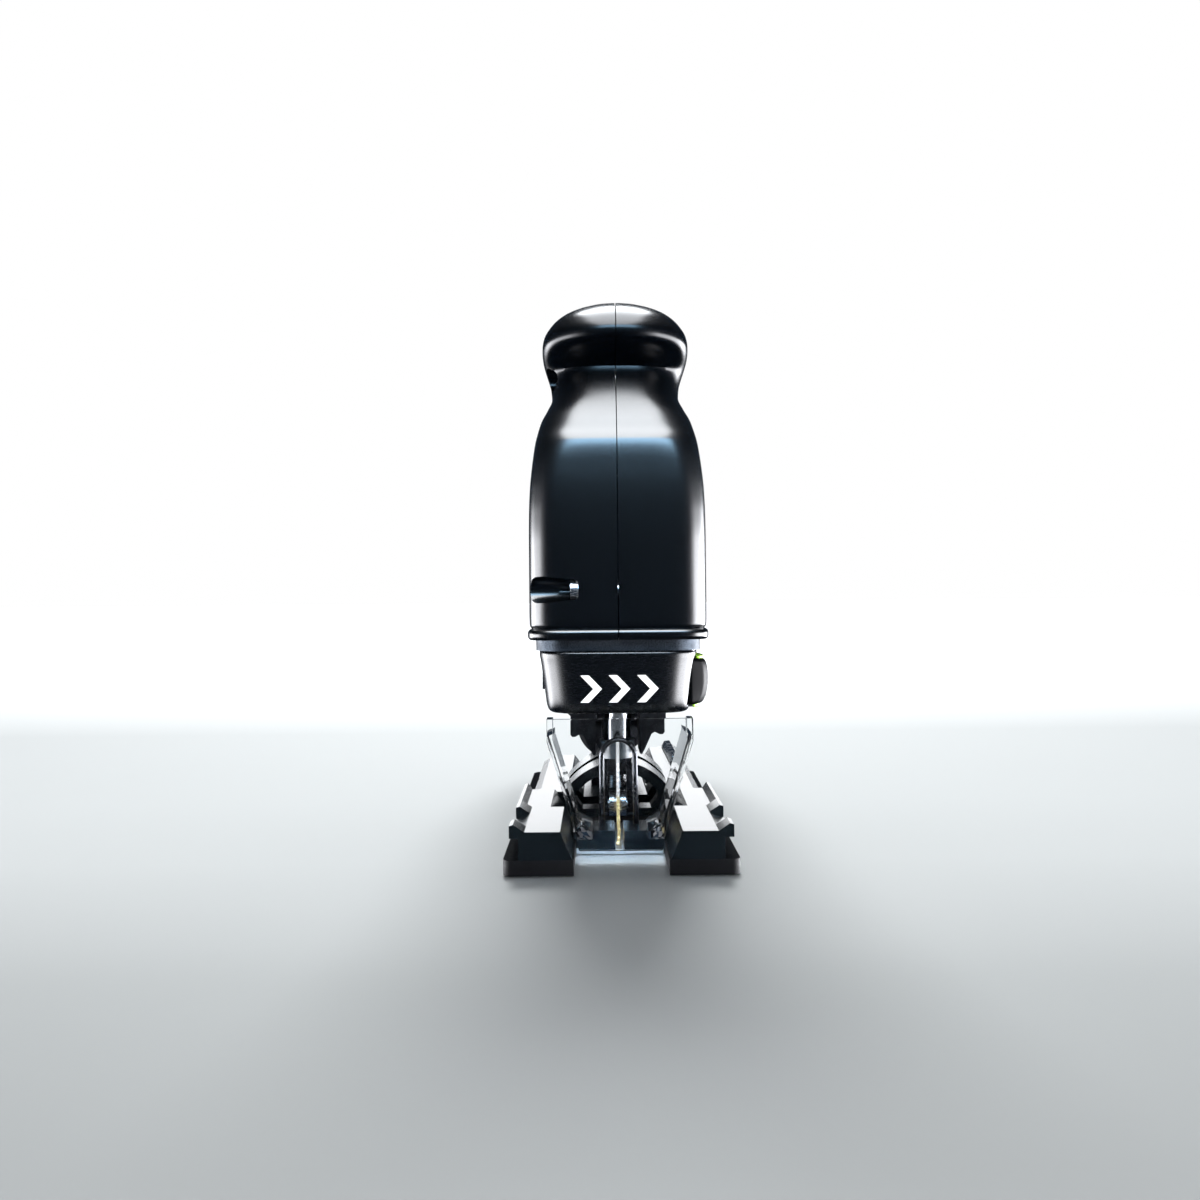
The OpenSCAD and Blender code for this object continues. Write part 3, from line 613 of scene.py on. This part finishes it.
# counterbores, each with a slightly flared mouth; only the machine's right half has them
cutters = []
for d, z in SCREWS:
    r = 4.3
    boss = cyl("boss", "x", 0, 0, 0, d, z, 40, rings=[(-31, 6.2), (-12.4, 6.2), (-12.3, 4.4), (31, 4.4)])
    cutters.append((d, z, r, boss))
bosses = join_all([c[3] for c in cutters], "bosses")
limit = housing_outer("lim", 0.35, 2.0, 110, soft=False)
boolean(bosses, limit, "INTERSECT")
boolean(shell, bosses, "UNION")
for d, z, r, _ in cutters:
    if d < 30:
        prof = [(-42, 21.1, 4.5), (-25, 21.1, 4.5), (-21, 21.2, 4.25), (-17.5, 21.2, 3.8), (-15.0, 21.2, 3.6), (-14.1, 21.2, 3.45), (-13.6, 21.2, 2.9), (-13.4, 21.2, 2.2)]
        boolean(shell, loft("cb", [[P(a, cd + cr_ * math.cos(2 * math.pi * i / 56), z + cr_ * math.sin(2 * math.pi * i / 56)) for i in range(56)] for a, cd, cr_ in prof]))
    else:
        boolean(shell, cyl("cb", "x", 0, 0, 0, d, z, 56, rings=[(-42, r + 0.1), (-16.6, r), (-14.9, r - 0.12), (-14.1, r - 0.5), (-13.6, r - 1.2)]))
    boolean(shell, cyl("hole", "x", 2.05, -20, 20, d, z, 24))
# pockets: switch slots, dial slot, inlet, vents
for s in (-1, 1):
    x0, x1 = (24, 40) if s > 0 else (-40, -24)
    slot_pts = rounded([(156.4, 132), (182, 132), (182, 140.4), (156.4, 140.4)], 2.2)
    boolean(shell, prism("sw", slot_pts, "x", x0, x1))
    vents = []
    for i in range(7):
        h = 22 - abs(i - 3) * 2
        vents.append(prism("v", rounded([(186 + i * 5, 106), (188.4 + i * 5, 106), (188.4 + i * 5, 106 + h), (186 + i * 5, 106 + h)], 1.15), "x", x0 - 2 * s if s > 0 else x0, x1 if s > 0 else x1 + 4))
    for i in range(5):
        vents.append(prism("v", rounded([(92 + i * 4.4, 98), (94.2 + i * 4.4, 98), (94.2 + i * 4.4, 112), (92 + i * 4.4, 112)], 1.05), "x", x0 - 2 * s if s > 0 else x0, x1 if s > 0 else x1 + 2))
    boolean(shell, join_all(vents, "vents"))
boolean(shell, prism("dial", rounded([(205.6, 141), (222.4, 141), (222.4, 162), (205.6, 162)], 0.5), "x", -3.4, 3.4))
boolean(shell, cyl("inl", "y", 10.6, 236, 262, 0, 117, 64))
boolean(shell, box("pk", -6.8, 6.8, 211, 217, 140, 147.8))
# two halves
right = shell.copy()
right.data = shell.data.copy()
bpy.context.scene.collection.objects.link(right)
boolean(shell, box("h", -0.15, 60, -5, 270, 50, 205))
boolean(right, box("h", -60, 0.15, -5, 270, 50, 205))
shell.name, right.name = "shell_left", "shell_right"
for ob, node in ((shell, "housing_left"), (right, "housing_right")):
    shade(ob, 34)
    give(ob, "shell")
    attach(ob, "machine")
    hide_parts(node)
for q in ("m0", "m1"):
    if bpy.data.materials.get(q):
        bpy.data.materials.remove(bpy.data.materials[q])


# soft layer over the barrel, a thin skin proud of the shell, ribbed, with a rounded border
def grip_skin():
    ds = np.arange(108.0, 152.01, 0.8)
    w, lo, hi, e = (col(BARREL, i, ds) for i in (1, 2, 3, 4))
    outer_r, inner_r = [], []
    n = 120
    for k, d in enumerate(ds):
        cz, hz = (lo[k] + hi[k]) / 2, (hi[k] - lo[k]) / 2
        x, y = even_ring(w[k], hz, e[k], 480)
        sel = [(a, b) for a, b in zip(x, y) if cz + b >= 122.0]
        sel.sort(key=lambda p: -math.atan2(p[1] + 40, p[0]))
        sel = sel[::-1]
        pts = np.array(sel)
        s_ = np.concatenate([[0], np.cumsum(np.hypot(np.diff(pts[:, 0]), np.diff(pts[:, 1])))])
        q = np.linspace(0, s_[-1], n)
        px, py = np.interp(q, s_, pts[:, 0]), np.interp(q, s_, pts[:, 1])
        tx, ty = np.gradient(px), np.gradient(py)
        ln = np.hypot(tx, ty)
        nx, ny = ty / ln, -tx / ln
        end = min(d - 108.0, 152.0 - d)
        ro, ri = [], []
        for i in range(n):
            edge = min(q[i], s_[-1] - q[i], end)
            h = 1.05 * math.sqrt(max(0.0, 1 - (1 - min(edge / 1.3, 1)) ** 2))
            rib = 0.32 * max(0.0, math.cos(2 * math.pi * (d - 130) / 5.0)) ** 0.6 if (edge > 3.2 and cz + py[i] < 148) else 0.0
            hh = 0.06 + h - rib
            ro.append(P(px[i] + nx[i] * hh, d, cz + py[i] + ny[i] * hh))
            ri.append(P(px[i] - nx[i] * 0.25, d, cz + py[i] - ny[i] * 0.25))
        outer_r.append(ro)
        inner_r.append(ri[::-1])
    rings = [a + b for a, b in zip(outer_r, inner_r)]
    return loft("grip_skin", rings)


grip = grip_skin()
shade(grip, 50)
give(grip, "soft_grip")
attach(grip, "machine")
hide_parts("grip_cover")

# ------------------------------------------------------------------ glossy head cover
COVER = [(48.8, 22.9, 24.6, 84), (49.05, 23.9, 23.0, 84.6), (49.6, 24.6, 22.0, 85.4), (50.6, 25.05, 21.25, 86), (52.4, 25.4, 20.85, 86.3), (56, 25.85, 20.6, 86.6),
         (60, 26.35, 20.45, 87), (66, 27.2, 20.25, 87.2), (69.3, 27.7, 20.12, 87.3), (69.75, 27.65, 20.25, 87.3), (70, 27.35, 20.6, 87.3)]
cz_list = [48.8, 48.9, 49.05, 49.3, 49.6, 50, 50.6, 51.4, 52.4] + list(np.arange(53.5, 69.3, 1.0)) + [69.3, 69.6, 69.75, 69.9, 70]
cw, cf, cb = (col(COVER, i, cz_list) for i in (1, 2, 3))
rings = []
for z, a, f_, b_ in zip(cz_list, cw, cf, cb):
    x, y = even_ring(a, (b_ - f_) / 2, 6.2, 260)
    rings.append([P(px, (f_ + b_) / 2 + py, z) for px, py in zip(x, y)])
cover = loft("cover", rings)
hollow = prism("hol", rounded([(-22.8, 26), (22.8, 26), (22.8, 92), (-22.8, 92)], 5.0, 8), "z", 46, 72)
boolean(cover, hollow)
boolean(cover, box("c", -30, 30, 60, 92, 46, 72))
boolean(cover, prism("w", rounded([(25.2, 49.8), (50.4, 49.8), (50.4, 68.8), (25.2, 68.8)], 2.5), "x", 15.4, 40))
for sx in (-1, 1):
    boolean(cover, cyl("sc", "x", 3.4, sx * 25.4, sx * 29, 55.5, 63, 40))
    boolean(cover, cyl("sc", "x", 1.7, sx * 20, sx * 29, 55.5, 63, 24))
for k in range(3):
    g_ = 0.02
    pts = [(-3.5 - g_, -4.6 - g_), (-0.6 + g_, -4.6 - g_), (3.8 + g_ * 1.4, 0), (-0.6 + g_, 4.6 + g_), (-3.5 - g_, 4.6 + g_), (0.9 - g_ * 1.4, 0)]
    boolean(cover, prism("mk", [(p[0] + k * 9.6 - 9.6, p[1] + 57.6) for p in pts], "y", 19.0, 21.42))
boolean(cover, cyl("lp", "z", 2.0, 65.5, 71, 25, 31, 32))
shade(cover, 34)
cover.name = "cover_shell"
give(cover, "gloss_cover")
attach(cover, "machine")
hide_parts("head_cover")

# ------------------------------------------------------------------ blade release lever with its green edges
lev_poly = [(25, 26.6), (29.4, 28), (31.2, 31), (31.6, 36), (31.2, 44), (29.8, 47.6), (27.6, 49), (26.6, 45), (25.6, 38), (22, 34), (20.8, 31), (21.4, 28)]
trim_poly = [(28, 28.2), (29.3, 28.6), (30.9, 31.2), (31.3, 36), (30.9, 44), (29.6, 47.3), (27.8, 48.6), (27.0, 45), (26.9, 38), (28, 33)]


def side_d(name, poly, z0, z1, r, key, crown=0.0):
    """A lever plate with rolled upper and lower edges and a slightly crowned outer face."""
    pts = rounded(poly, 1.6, 6)
    cx = sum(p[0] for p in pts) / len(pts)
    cy = sum(p[1] for p in pts) / len(pts)
    rings = []
    seg = 8
    mids = [z0 + r + (z1 - z0 - 2 * r) * i / 9 for i in range(1, 9)] if crown else []
    zs = [z0 + r * (1 - math.cos(math.pi / 2 * i / seg)) for i in range(seg + 1)]
    ins = [r * (1 - math.sin(math.pi / 2 * i / seg)) for i in range(seg + 1)]
    prof = list(zip(zs, ins)) + [(z, 0.0) for z in mids] + [(z1 - (z - z0), q) for z, q in reversed(list(zip(zs, ins)))]
    for z, q in prof:
        t = (z - z0) / (z1 - z0)
        bulge = crown * (math.sin(math.pi * t) - 1)
        if crown:
            bulge -= 3.0 * (1 - math.sqrt(max(0.0, 1 - max(0.0, 1 - t / 0.55) ** 2))) + 1.9 * (1 - math.sqrt(max(0.0, 1 - max(0.0, (t - 0.72) / 0.28) ** 2)))
        ring = []
        for x, y in pts:
            vx, vy = x - cx, y - cy
            l = math.hypot(vx, vy)
            k = (l - q) / l
            ring.append(P(cx + vx * k + bulge * min(1.0, max(0.0, (x - 26.5) / 3.0)), cy + vy * k, z))
        rings.append(ring)
    ob = loft(name, rings)
    return ob


lever = side_d("lever_paddle", lev_poly, 51.2, 67.4, 1.5, "lever_black", 0.35)
boolean(lever, cyl("pin", "z", 1.75, 50, 69, 25, 31, 32))
for i in range(5):
    boolean(lever, cyl("rib", "z", 0.45, 53.4, 65.2, 31.75, 34.6 + i * 2.3, 12))
shade(lever, 40)
give(lever, "lever_black")
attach(lever, "blade_lever")
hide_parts("release_lever")
low_poly = [(25.6, 28.2), (26.6, 28.6), (27.9, 31.2), (28.4, 36), (28.0, 44), (27.3, 47.0), (26.6, 47.6), (26.0, 45), (25.6, 38), (25.4, 33)]
top_poly = [(27, 28.2), (28.2, 28.6), (29.6, 31.2), (30.0, 36), (29.6, 44), (28.6, 47.3), (27.4, 48.3), (26.8, 45), (26.6, 38), (26.8, 33)]
ta = side_d("ta", low_poly, 50.4, 51.5, 0.3, "accent_green")
tb = side_d("tb", top_poly, 67.1, 68.2, 0.3, "accent_green")
trim = join_all([ta, tb], "lever_edges")
shade(trim, 40)
give(trim, "accent_green")
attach(trim, "blade_lever")
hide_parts("lever_trim")

# ------------------------------------------------------------------ clear guard with moulded ribs, rides on the base
gouter = rounded([(-14.2, 8.4), (-14.0, 4.9), (14.0, 4.9), (14.2, 8.4), (24.2, 41), (24.2, 48.4), (-24.2, 48.4), (-24.2, 41)], [0, 0.8, 0.8, 0, 0.8, 0.5, 0.5, 0.8])
pane = prism("pane", gouter, "y", 12, 13.8)
sides = []
for s in (-1, 1):
    pts = [(s * 12.2, 8.4), (s * 14.2, 8.4), (s * 24.2, 41), (s * 24.2, 48.4), (s * 22.3, 48.4), (s * 22.3, 41.2)]
    sides.append(prism("side", pts, "y", 12.4, 34))
guard = pane
for o in sides:
    boolean(guard, o, "UNION")
# stiffening ribs inside the lower corners and a foot rail
for s in (-1, 1):
    boolean(guard, prism("rib", rounded([(s * 13.0, 8.4), (s * 9.2, 8.4), (s * 9.2, 10.6), (s * 14.2, 13.4)], 0.3), "y", 13.0, 33.4), "UNION")
    boolean(guard, prism("rib", [(s * 14.4, 13.0), (s * 10.6, 9.4), (s * 15.2, 17.0)], "y", 22.0, 23.2), "UNION")
# full height ahead of the head, inside the tilting circle below it
keep_in = cyl("lim", "y", 48.3, 0, 60, 0, 0, 256)
boolean(keep_in, box("ahead", -30, 30, 1, 19, -10, 60), "UNION")
boolean(guard, keep_in, "INTERSECT")
bevel(guard, 0.28, 2, 28, apply=True)
shade(guard, 30)
guard.name = "guard_shell"
give(guard, "clear")
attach(guard, "guard")
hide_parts("chip_guard")

# ------------------------------------------------------------------ finger bow: round bar bent to an arch with two feet
def sweep(name, path, r, n=20, flat=1.0):
    rings = []
    m = len(path)
    for j in range(m):
        a = path[max(j - 1, 0)]
        b = path[min(j + 1, m - 1)]
        t = (b - a).normalized()
        u = Vector((0, 1, 0))
        v = t.cross(u).normalized()
        rings.append([path[j] + v * (r * MM * math.cos(2 * math.pi * i / n)) + u * (r * MM * flat * math.sin(2 * math.pi * i / n)) for i in range(n)])
    return loft(name, rings)


leg = [8.2 + i * 1.17 for i in range(20)]
arc = [P(-5.95, 37.3, z) for z in leg]
arc += [P(-5.95 * math.cos(math.pi * i / 40), 37.3, 31.7 + 5.95 * math.sin(math.pi * i / 40)) for i in range(41)]
arc += [P(5.95, 37.3, z) for z in reversed(leg)]
bow = sweep("bow", arc, 0.93, 20, 1.35)
for s in (-1, 1):
    foot = prism("foot", rounded([(s * 6.9, 36.0), (s * 6.9, 41.0), (s * 5.0, 41.0), (s * 5.0, 36.0)], 0.5), "z", 8.02, 10.6)
    boolean(bow, foot, "UNION")
shade(bow, 45)
give(bow, "steel_dark")
bow.name = "bow_bar"
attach(bow, "base")
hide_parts("finger_bow")

# ------------------------------------------------------------------ blade with set teeth and a ground edge
def blade_mesh():
    t = 0.5
    front = 42.0
    nteeth = 15
    outline = [(51, 45.6), (51, 36.2), (51, 3.4), (47.6, 0.5), (43.4, 0.5)]
    body = outline + [(44.0, 1.0), (44.0, 29.0), (44.0, 35.8), (47.4, 36.4), (47.4, 45.6)]
    b = prism("blade_body", body, "x", -t, t)
    obs = [b]
    for i in range(nteeth):
        z = 1.0 + i * 1.8
        s = 1 if i % 2 else -1
        # each tooth: a small wedge leaning to its side
        x0, x1 = -t * 0.86, t * 0.86
        pts = [P(x0, 44.4, z), P(x1, 44.4, z), P(x1, 44.4, z + 1.75), P(x0, 44.4, z + 1.75),
               P(-0.1 + s * 0.5, front + 1.0, z + 1.5), P(0.14 + s * 0.5, front + 1.0, z + 1.5), P(0.14 + s * 0.5, front + 1.0, z + 1.62), P(-0.1 + s * 0.5, front + 1.0, z + 1.62)]
        f = [(0, 1, 2, 3), (4, 7, 6, 5), (0, 4, 5, 1), (1, 5, 6, 2), (2, 6, 7, 3), (3, 7, 4, 0)]
        obs.append(fix_normals(new_obj("t", pts, f)))
    return obs


obs = blade_mesh()
blade = obs[0]
for o in obs[1:]:
    boolean(blade, o, "UNION")
bevel(blade, 0.08, 1, 40, apply=True)
shade(blade, 25)
blade.name = "saw_blade"
give(blade, "blade_steel")
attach(blade, "ram")
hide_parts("blade")

# ------------------------------------------------------------------ running sole with a rounded rim
sole_pts = rounded([(-38, 0), (-11.8, 0), (-11.8, 27), (-9, 27), (-9, 41.6), (-12.2, 41.6), (-12.2, 72), (-16.2, 72), (-16.2, 160.2), (16.2, 160.2), (16.2, 72), (12.2, 72),
                    (12.2, 41.6), (9, 41.6), (9, 27), (11.8, 27), (11.8, 0), (38, 0), (38, 168), (-38, 168)],
                   [2.2, 1.2, 0.2, 0.2, 0.2, 0.2, 0.2, 0.1, 0.1, 0.1, 0.1, 0.2, 0.2, 0.2, 0.2, 0.2, 1.2, 2.2, 4, 4], 6)
del sole_pts
sole = prism("sole", rounded([(-38, 0), (38, 0), (38, 168), (-38, 168)], [2.6, 2.6, 4, 4], 8), "z", 0, 5)
boolean(sole, prism("n", rounded([(-15.3, -4), (15.3, -4), (15.3, 41.8), (-15.3, 41.8)], 0.4), "z", -1, 6))
boolean(sole, prism("o", [(-10, -1), (10, -1), (10, 0), (15.2, 6), (-15.2, 6), (-10, 0)], "y", 41.6, 72))
boolean(sole, box("s", -16.2, 16.2, 26.9, 42.1, 2.2, 6))
boolean(sole, box("s", -16.2, 16.2, 71.9, 160.2, 2.6, 6))
boolean(sole, prism("s", rounded([(-9, 122), (9, 122), (9, 150), (-9, 150)], 1.5), "z", -1, 8))
boolean(sole, cyl("k", "z", 6.4, -1, 7, 0, 88, 48))
for sx in (-27, 27):
    for d in (18, 60, 150):
        boolean(sole, cyl("h", "z", 1.62, -1, 11, sx, d, 24))
        boolean(sole, cyl("h", "z", 2.95, -1, 2.2, sx, d, 32))
for i in range(9):
    for s in (-1, 1):
        boolean(sole, prism("r", rounded([(s * 18 - 0.5, 8 + i * 17), (s * 18 + 0.5, 8 + i * 17), (s * 18 + 0.5, 20 + i * 17), (s * 18 - 0.5, 20 + i * 17)], 0.45), "z", -1, 0.35)) if i in (2, 4, 5, 6, 7) else None
bevel(sole, 0.45, 3, 40, apply=True)
shade(sole, 34)
sole.name = "sole_plate"
give(sole, "sole")
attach(sole, "base")
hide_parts("running_sole")

# ------------------------------------------------------------------ switch pads with grip ribs
for s, nm in ((-1, "pad_right"), (1, "pad_left")):
    rings = []
    prof = [(27.2, 0.2), (28.0, 0.0), (30.2, 0.0), (30.9, 0.25), (31.3, 0.8), (31.4, 1.6)]
    for x, q in prof:
        rings.append([P(s * x, a, b) for a, b in rounded([(163 + q, 133 + q), (175.6 - q, 133 + q), (175.6 - q, 139.4 - q), (163 + q, 139.4 - q)], 1.6, 6)])
    pad = loft(nm, rings)
    for i in range(4):
        boolean(pad, cyl("r", "z", 0.5, 134.2, 138.2, s * 31.55, 166 + i * 2.2, 16))
    stem = box("st", min(s * 24.6, s * 27.4), max(s * 24.6, s * 27.4), 165, 172, 134.6, 137.4)
    boolean(pad, stem, "UNION")
    shade(pad, 40)
    give(pad, "accent_green")
    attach(pad, "switch")
    pads = (pads if s > 0 else []) + [pad]
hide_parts("switch_pads")

# ------------------------------------------------------------------ CAD nodes that stay: finish and softened edges
REPLACED = {"housing_left", "housing_right", "grip_cover", "head_cover", "release_lever", "lever_trim", "chip_guard", "finger_bow", "blade", "running_sole", "switch_pads"}
SLOTS = {sp["node"]: sp["material_slot"] for sp in frame["record"]["subparts"]}
EDGE = {"gear_case": 0.35, "base_table": 0.32, "inlet_socket": 0.5, "dust_port": 0.4, "speed_dial": 0.2, "direction_mark": 0.05, "clamp_spring": 0,
        "drive_gear": 0.12, "pinion": 0.08, "blade_clamp": 0.25, "roller_fork": 0.25, "splinter_guard": 0.2, "hex_key": 0.15, "housing_screws": 0.15,
        "head_cover_screws": 0.12, "sole_screws": 0.1, "tilt_screw": 0.2, "orbit_selector": 0.45}
for nm, ob in frame["nodes"].items():
    if nm in REPLACED:
        continue
    ob.data.materials.clear()
    ob.data.materials.append(M[{"plunger": "ram_steel", "blade_clamp": "clamp_slate"}.get(nm, SLOTS[nm])].m)
    for p in ob.data.polygons:
        p.use_smooth = False
        p.material_index = 0
    w = EDGE.get(nm, 0.18)
    if w:
        wl = ob.modifiers.new("weld", "WELD")
        wl.merge_threshold = 0.002 * MM
        md = ob.modifiers.new("soft_edge", "BEVEL")
        md.width = w * MM
        md.segments = 2
        md.limit_method = "ANGLE"
        md.angle_limit = math.radians(38)
        md.use_clamp_overlap = True
        md.harden_normals = False
    sm = ob.modifiers.new("wn", "WEIGHTED_NORMAL")
    sm.keep_sharp = True


# ------------------------------------------------------------------ camera
cam = bpy.data.cameras.new("camera")
cam.lens = 31.15
cam.sensor_width = 36
cam.clip_start = 0.01
cam_ob = bpy.data.objects.new("camera", cam)
cam_ob.location = (-0.0066, -0.461, 0.0888)
cam_ob.rotation_euler = (math.radians(89.81), math.radians(0.5), math.radians(-0.07))
bpy.context.scene.collection.objects.link(cam_ob)
bpy.context.scene.camera = cam_ob

# ------------------------------------------------------------------ floor and studio
bpy.context.scene.view_settings.view_transform = "Standard"

floor_m = bpy.data.materials.new("studio_floor")
floor_m.use_nodes = True
fn = floor_m.node_tree
fb = fn.nodes["Principled BSDF"]
fb.inputs["Roughness"].default_value = 0.38
fb.inputs["Specular IOR Level"].default_value = 0.12
tc = fn.nodes.new("ShaderNodeTexCoord")
sx = fn.nodes.new("ShaderNodeSeparateXYZ")
fn.links.new(tc.outputs["Object"], sx.inputs[0])
# painted light: the floor's colour is darker close to the camera and lighter towards the tool, shading that stands in
# for the fall of the light
cr = fn.nodes.new("ShaderNodeMapRange")
cr.inputs["From Min"].default_value = -0.30
cr.inputs["From Max"].default_value = 1.20
fn.links.new(sx.outputs[1], cr.inputs["Value"])
fr = fn.nodes.new("ShaderNodeValToRGB")
FLOOR = [(0.0, 0.45), (0.053, 0.52), (0.072, 0.58), (0.095, 0.63), (0.126, 0.68), (0.195, 0.69), (0.32, 0.665), (0.49, 0.64), (0.75, 0.62), (1.0, 0.55)]
while len(fr.color_ramp.elements) < len(FLOOR):
    fr.color_ramp.elements.new(0.5)
FLOOR_GAIN = 0.72
for el, (p, v) in zip(fr.color_ramp.elements, FLOOR):
    el.position = p
    g_ = v * FLOOR_GAIN
    el.color = (g_ * 0.955, g_, g_ * 1.012, 1)
fn.links.new(cr.outputs[0], fr.inputs[0])
fn.links.new(fr.outputs[0], fb.inputs["Base Color"])
# painted light: from 0.22 m back the floor glows, rising to 1.1 at 1.1 m, so the far floor turns white without a lamp
er = fn.nodes.new("ShaderNodeMapRange")
er.inputs["From Min"].default_value = 0.22
er.inputs["From Max"].default_value = 1.10
er.inputs["To Max"].default_value = 1.1
fn.links.new(sx.outputs[1], er.inputs["Value"])
fn.links.new(er.outputs[0], fb.inputs["Emission Strength"])
fb.inputs["Emission Color"].default_value = (0.97, 0.985, 1.0, 1)
fl = new_obj("studio_floor_plane", [(-8, -4, -0.0003), (8, -4, -0.0003), (8, 14, -0.0003), (-8, 14, -0.0003)], [(0, 1, 2, 3)])
fl.data.materials.append(floor_m)
fl.visible_glossy = False

# the backdrop is white to the eye all round; what lights and reflects is white behind and beside the tool and dark in front of it
world = bpy.data.worlds.new("studio")
bpy.context.scene.world = world
world.use_nodes = True
wn = world.node_tree
bg = wn.nodes["Background"]
wt = wn.nodes.new("ShaderNodeTexCoord")
ws = wn.nodes.new("ShaderNodeSeparateXYZ")
wn.links.new(wt.outputs["Generated"], ws.inputs[0])
wr = wn.nodes.new("ShaderNodeMapRange")
wr.inputs["From Min"].default_value = -0.35
wr.inputs["From Max"].default_value = 0.25
wr.interpolation_type = "SMOOTHSTEP"
wn.links.new(ws.outputs[1], wr.inputs["Value"])
wc = wn.nodes.new("ShaderNodeValToRGB")
wc.color_ramp.elements[0].color = (0.006, 0.008, 0.012, 1)
wc.color_ramp.elements[1].color = (0.97, 0.985, 1.0, 1)
wn.links.new(wr.outputs[0], wc.inputs[0])
wn.links.new(wc.outputs[0], bg.inputs["Color"])
bg.inputs["Strength"].default_value = 1.05


def smooth(src, lo, hi):
    n = wn.nodes.new("ShaderNodeMapRange")
    n.interpolation_type = "SMOOTHSTEP"
    n.inputs["From Min"].default_value = lo
    n.inputs["From Max"].default_value = hi
    wn.links.new(src, n.inputs["Value"])
    return n.outputs[0]


def times(p, q):
    n = wn.nodes.new("ShaderNodeMath")
    n.operation = "MULTIPLY"
    wn.links.new(p, n.inputs[0])
    wn.links.new(q, n.inputs[1])
    return n.outputs[0]


# reflections see a bright low band at both sides, fading out above the horizon and in front
band = times(smooth(ws.outputs[2], 0.15, 0.0), smooth(ws.outputs[2], -0.42, -0.16))
band = times(band, times(smooth(ws.outputs[1], -0.88, -0.48), smooth(ws.outputs[1], 0.85, 0.35)))
boost = wn.nodes.new("ShaderNodeMath")
boost.operation = "MULTIPLY_ADD"
wn.links.new(smooth(ws.outputs[0], 0.08, 0.5), boost.inputs[0])
boost.inputs[1].default_value = 1.1
boost.inputs[2].default_value = 0.8
band = times(band, boost.outputs[0])
bc = wn.nodes.new("ShaderNodeValToRGB")
bc.color_ramp.elements[0].color = (0.0006, 0.0010, 0.0016, 1)
bc.color_ramp.elements[1].color = (0.95, 0.96, 1.0, 1)
wn.links.new(band, bc.inputs[0])
bg3 = wn.nodes.new("ShaderNodeBackground")
wn.links.new(bc.outputs[0], bg3.inputs["Color"])
bg3.inputs["Strength"].default_value = 30.0
bg2 = wn.nodes.new("ShaderNodeBackground")
bg2.inputs["Color"].default_value = (1, 1, 1, 1)
bg2.inputs["Strength"].default_value = 1.0
lp = wn.nodes.new("ShaderNodeLightPath")
mx = wn.nodes.new("ShaderNodeMixShader")
mg = wn.nodes.new("ShaderNodeMixShader")
wn.links.new(lp.outputs["Is Glossy Ray"], mg.inputs[0])
wn.links.new(bg.outputs[0], mg.inputs[1])
wn.links.new(bg3.outputs[0], mg.inputs[2])
wn.links.new(lp.outputs["Is Camera Ray"], mx.inputs[0])
wn.links.new(mg.outputs[0], mx.inputs[1])
wn.links.new(bg2.outputs[0], mx.inputs[2])
wn.links.new(mx.outputs[0], wn.nodes["World Output"].inputs[0])


def area(name, loc, target, size, power, color=(1, 1, 1), size_y=None, glossy=True, diffuse=True):
    li = bpy.data.lights.new(name, "AREA")
    li.energy = power
    li.color = color
    li.size = size
    if size_y:
        li.shape = "RECTANGLE"
        li.size_y = size_y
    ob = bpy.data.objects.new(name, li)
    ob.location = loc
    ob.rotation_euler = (Vector(target) - Vector(loc)).to_track_quat("-Z", "Y").to_euler()
    ob.visible_glossy = glossy
    ob.visible_diffuse = diffuse
    ob.visible_camera = False
    bpy.context.scene.collection.objects.link(ob)
    return ob


area("top_box", (0, -0.20, 0.62), (0, -0.20, 0), 0.31, 18, (0.93, 0.965, 1.0), 0.86, diffuse=False)
area("front_card", (0.02, -0.40, 0.34), (0.01, -0.11, 0.14), 0.21, 1.7, (0.42, 0.72, 1.0), 0.10, diffuse=False)


def only(light, obs, name):
    c = bpy.data.collections.new(name)
    for o in obs:
        c.objects.link(o)
    light.light_linking.receiver_collection = c


N = frame["nodes"]
fill = area("front_fill", (0.05, -0.75, 0.35), (0, -0.1, 0.08), 0.5, 8.0, (1, 1, 1), 0.4)
# the fill reaches only the bright small parts, so the black shells stay black
only(fill, [blade, bow, N["direction_mark"], N["blade_clamp"], trim], "fill_receivers")
# a card low behind the tool, seen only in the flat tops of the base
back = area("back_card", (0, 0.75, 0.22), (0, -0.05, 0.02), 1.6, 5.0, (0.97, 0.985, 1.0), 0.36, diffuse=False)
only(back, [N["base_table"]], "back_receivers")
# the key for the floor stands behind, so the tool's soft shadow falls towards the viewer
key = area("floor_key", (0.0, 1.1, 1.3), (0, -0.2, 0), 0.75, 58, (1, 1, 1), 0.6, glossy=False)
only(key, [fl], "floor_receivers")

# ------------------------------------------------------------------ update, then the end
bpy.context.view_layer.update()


import json
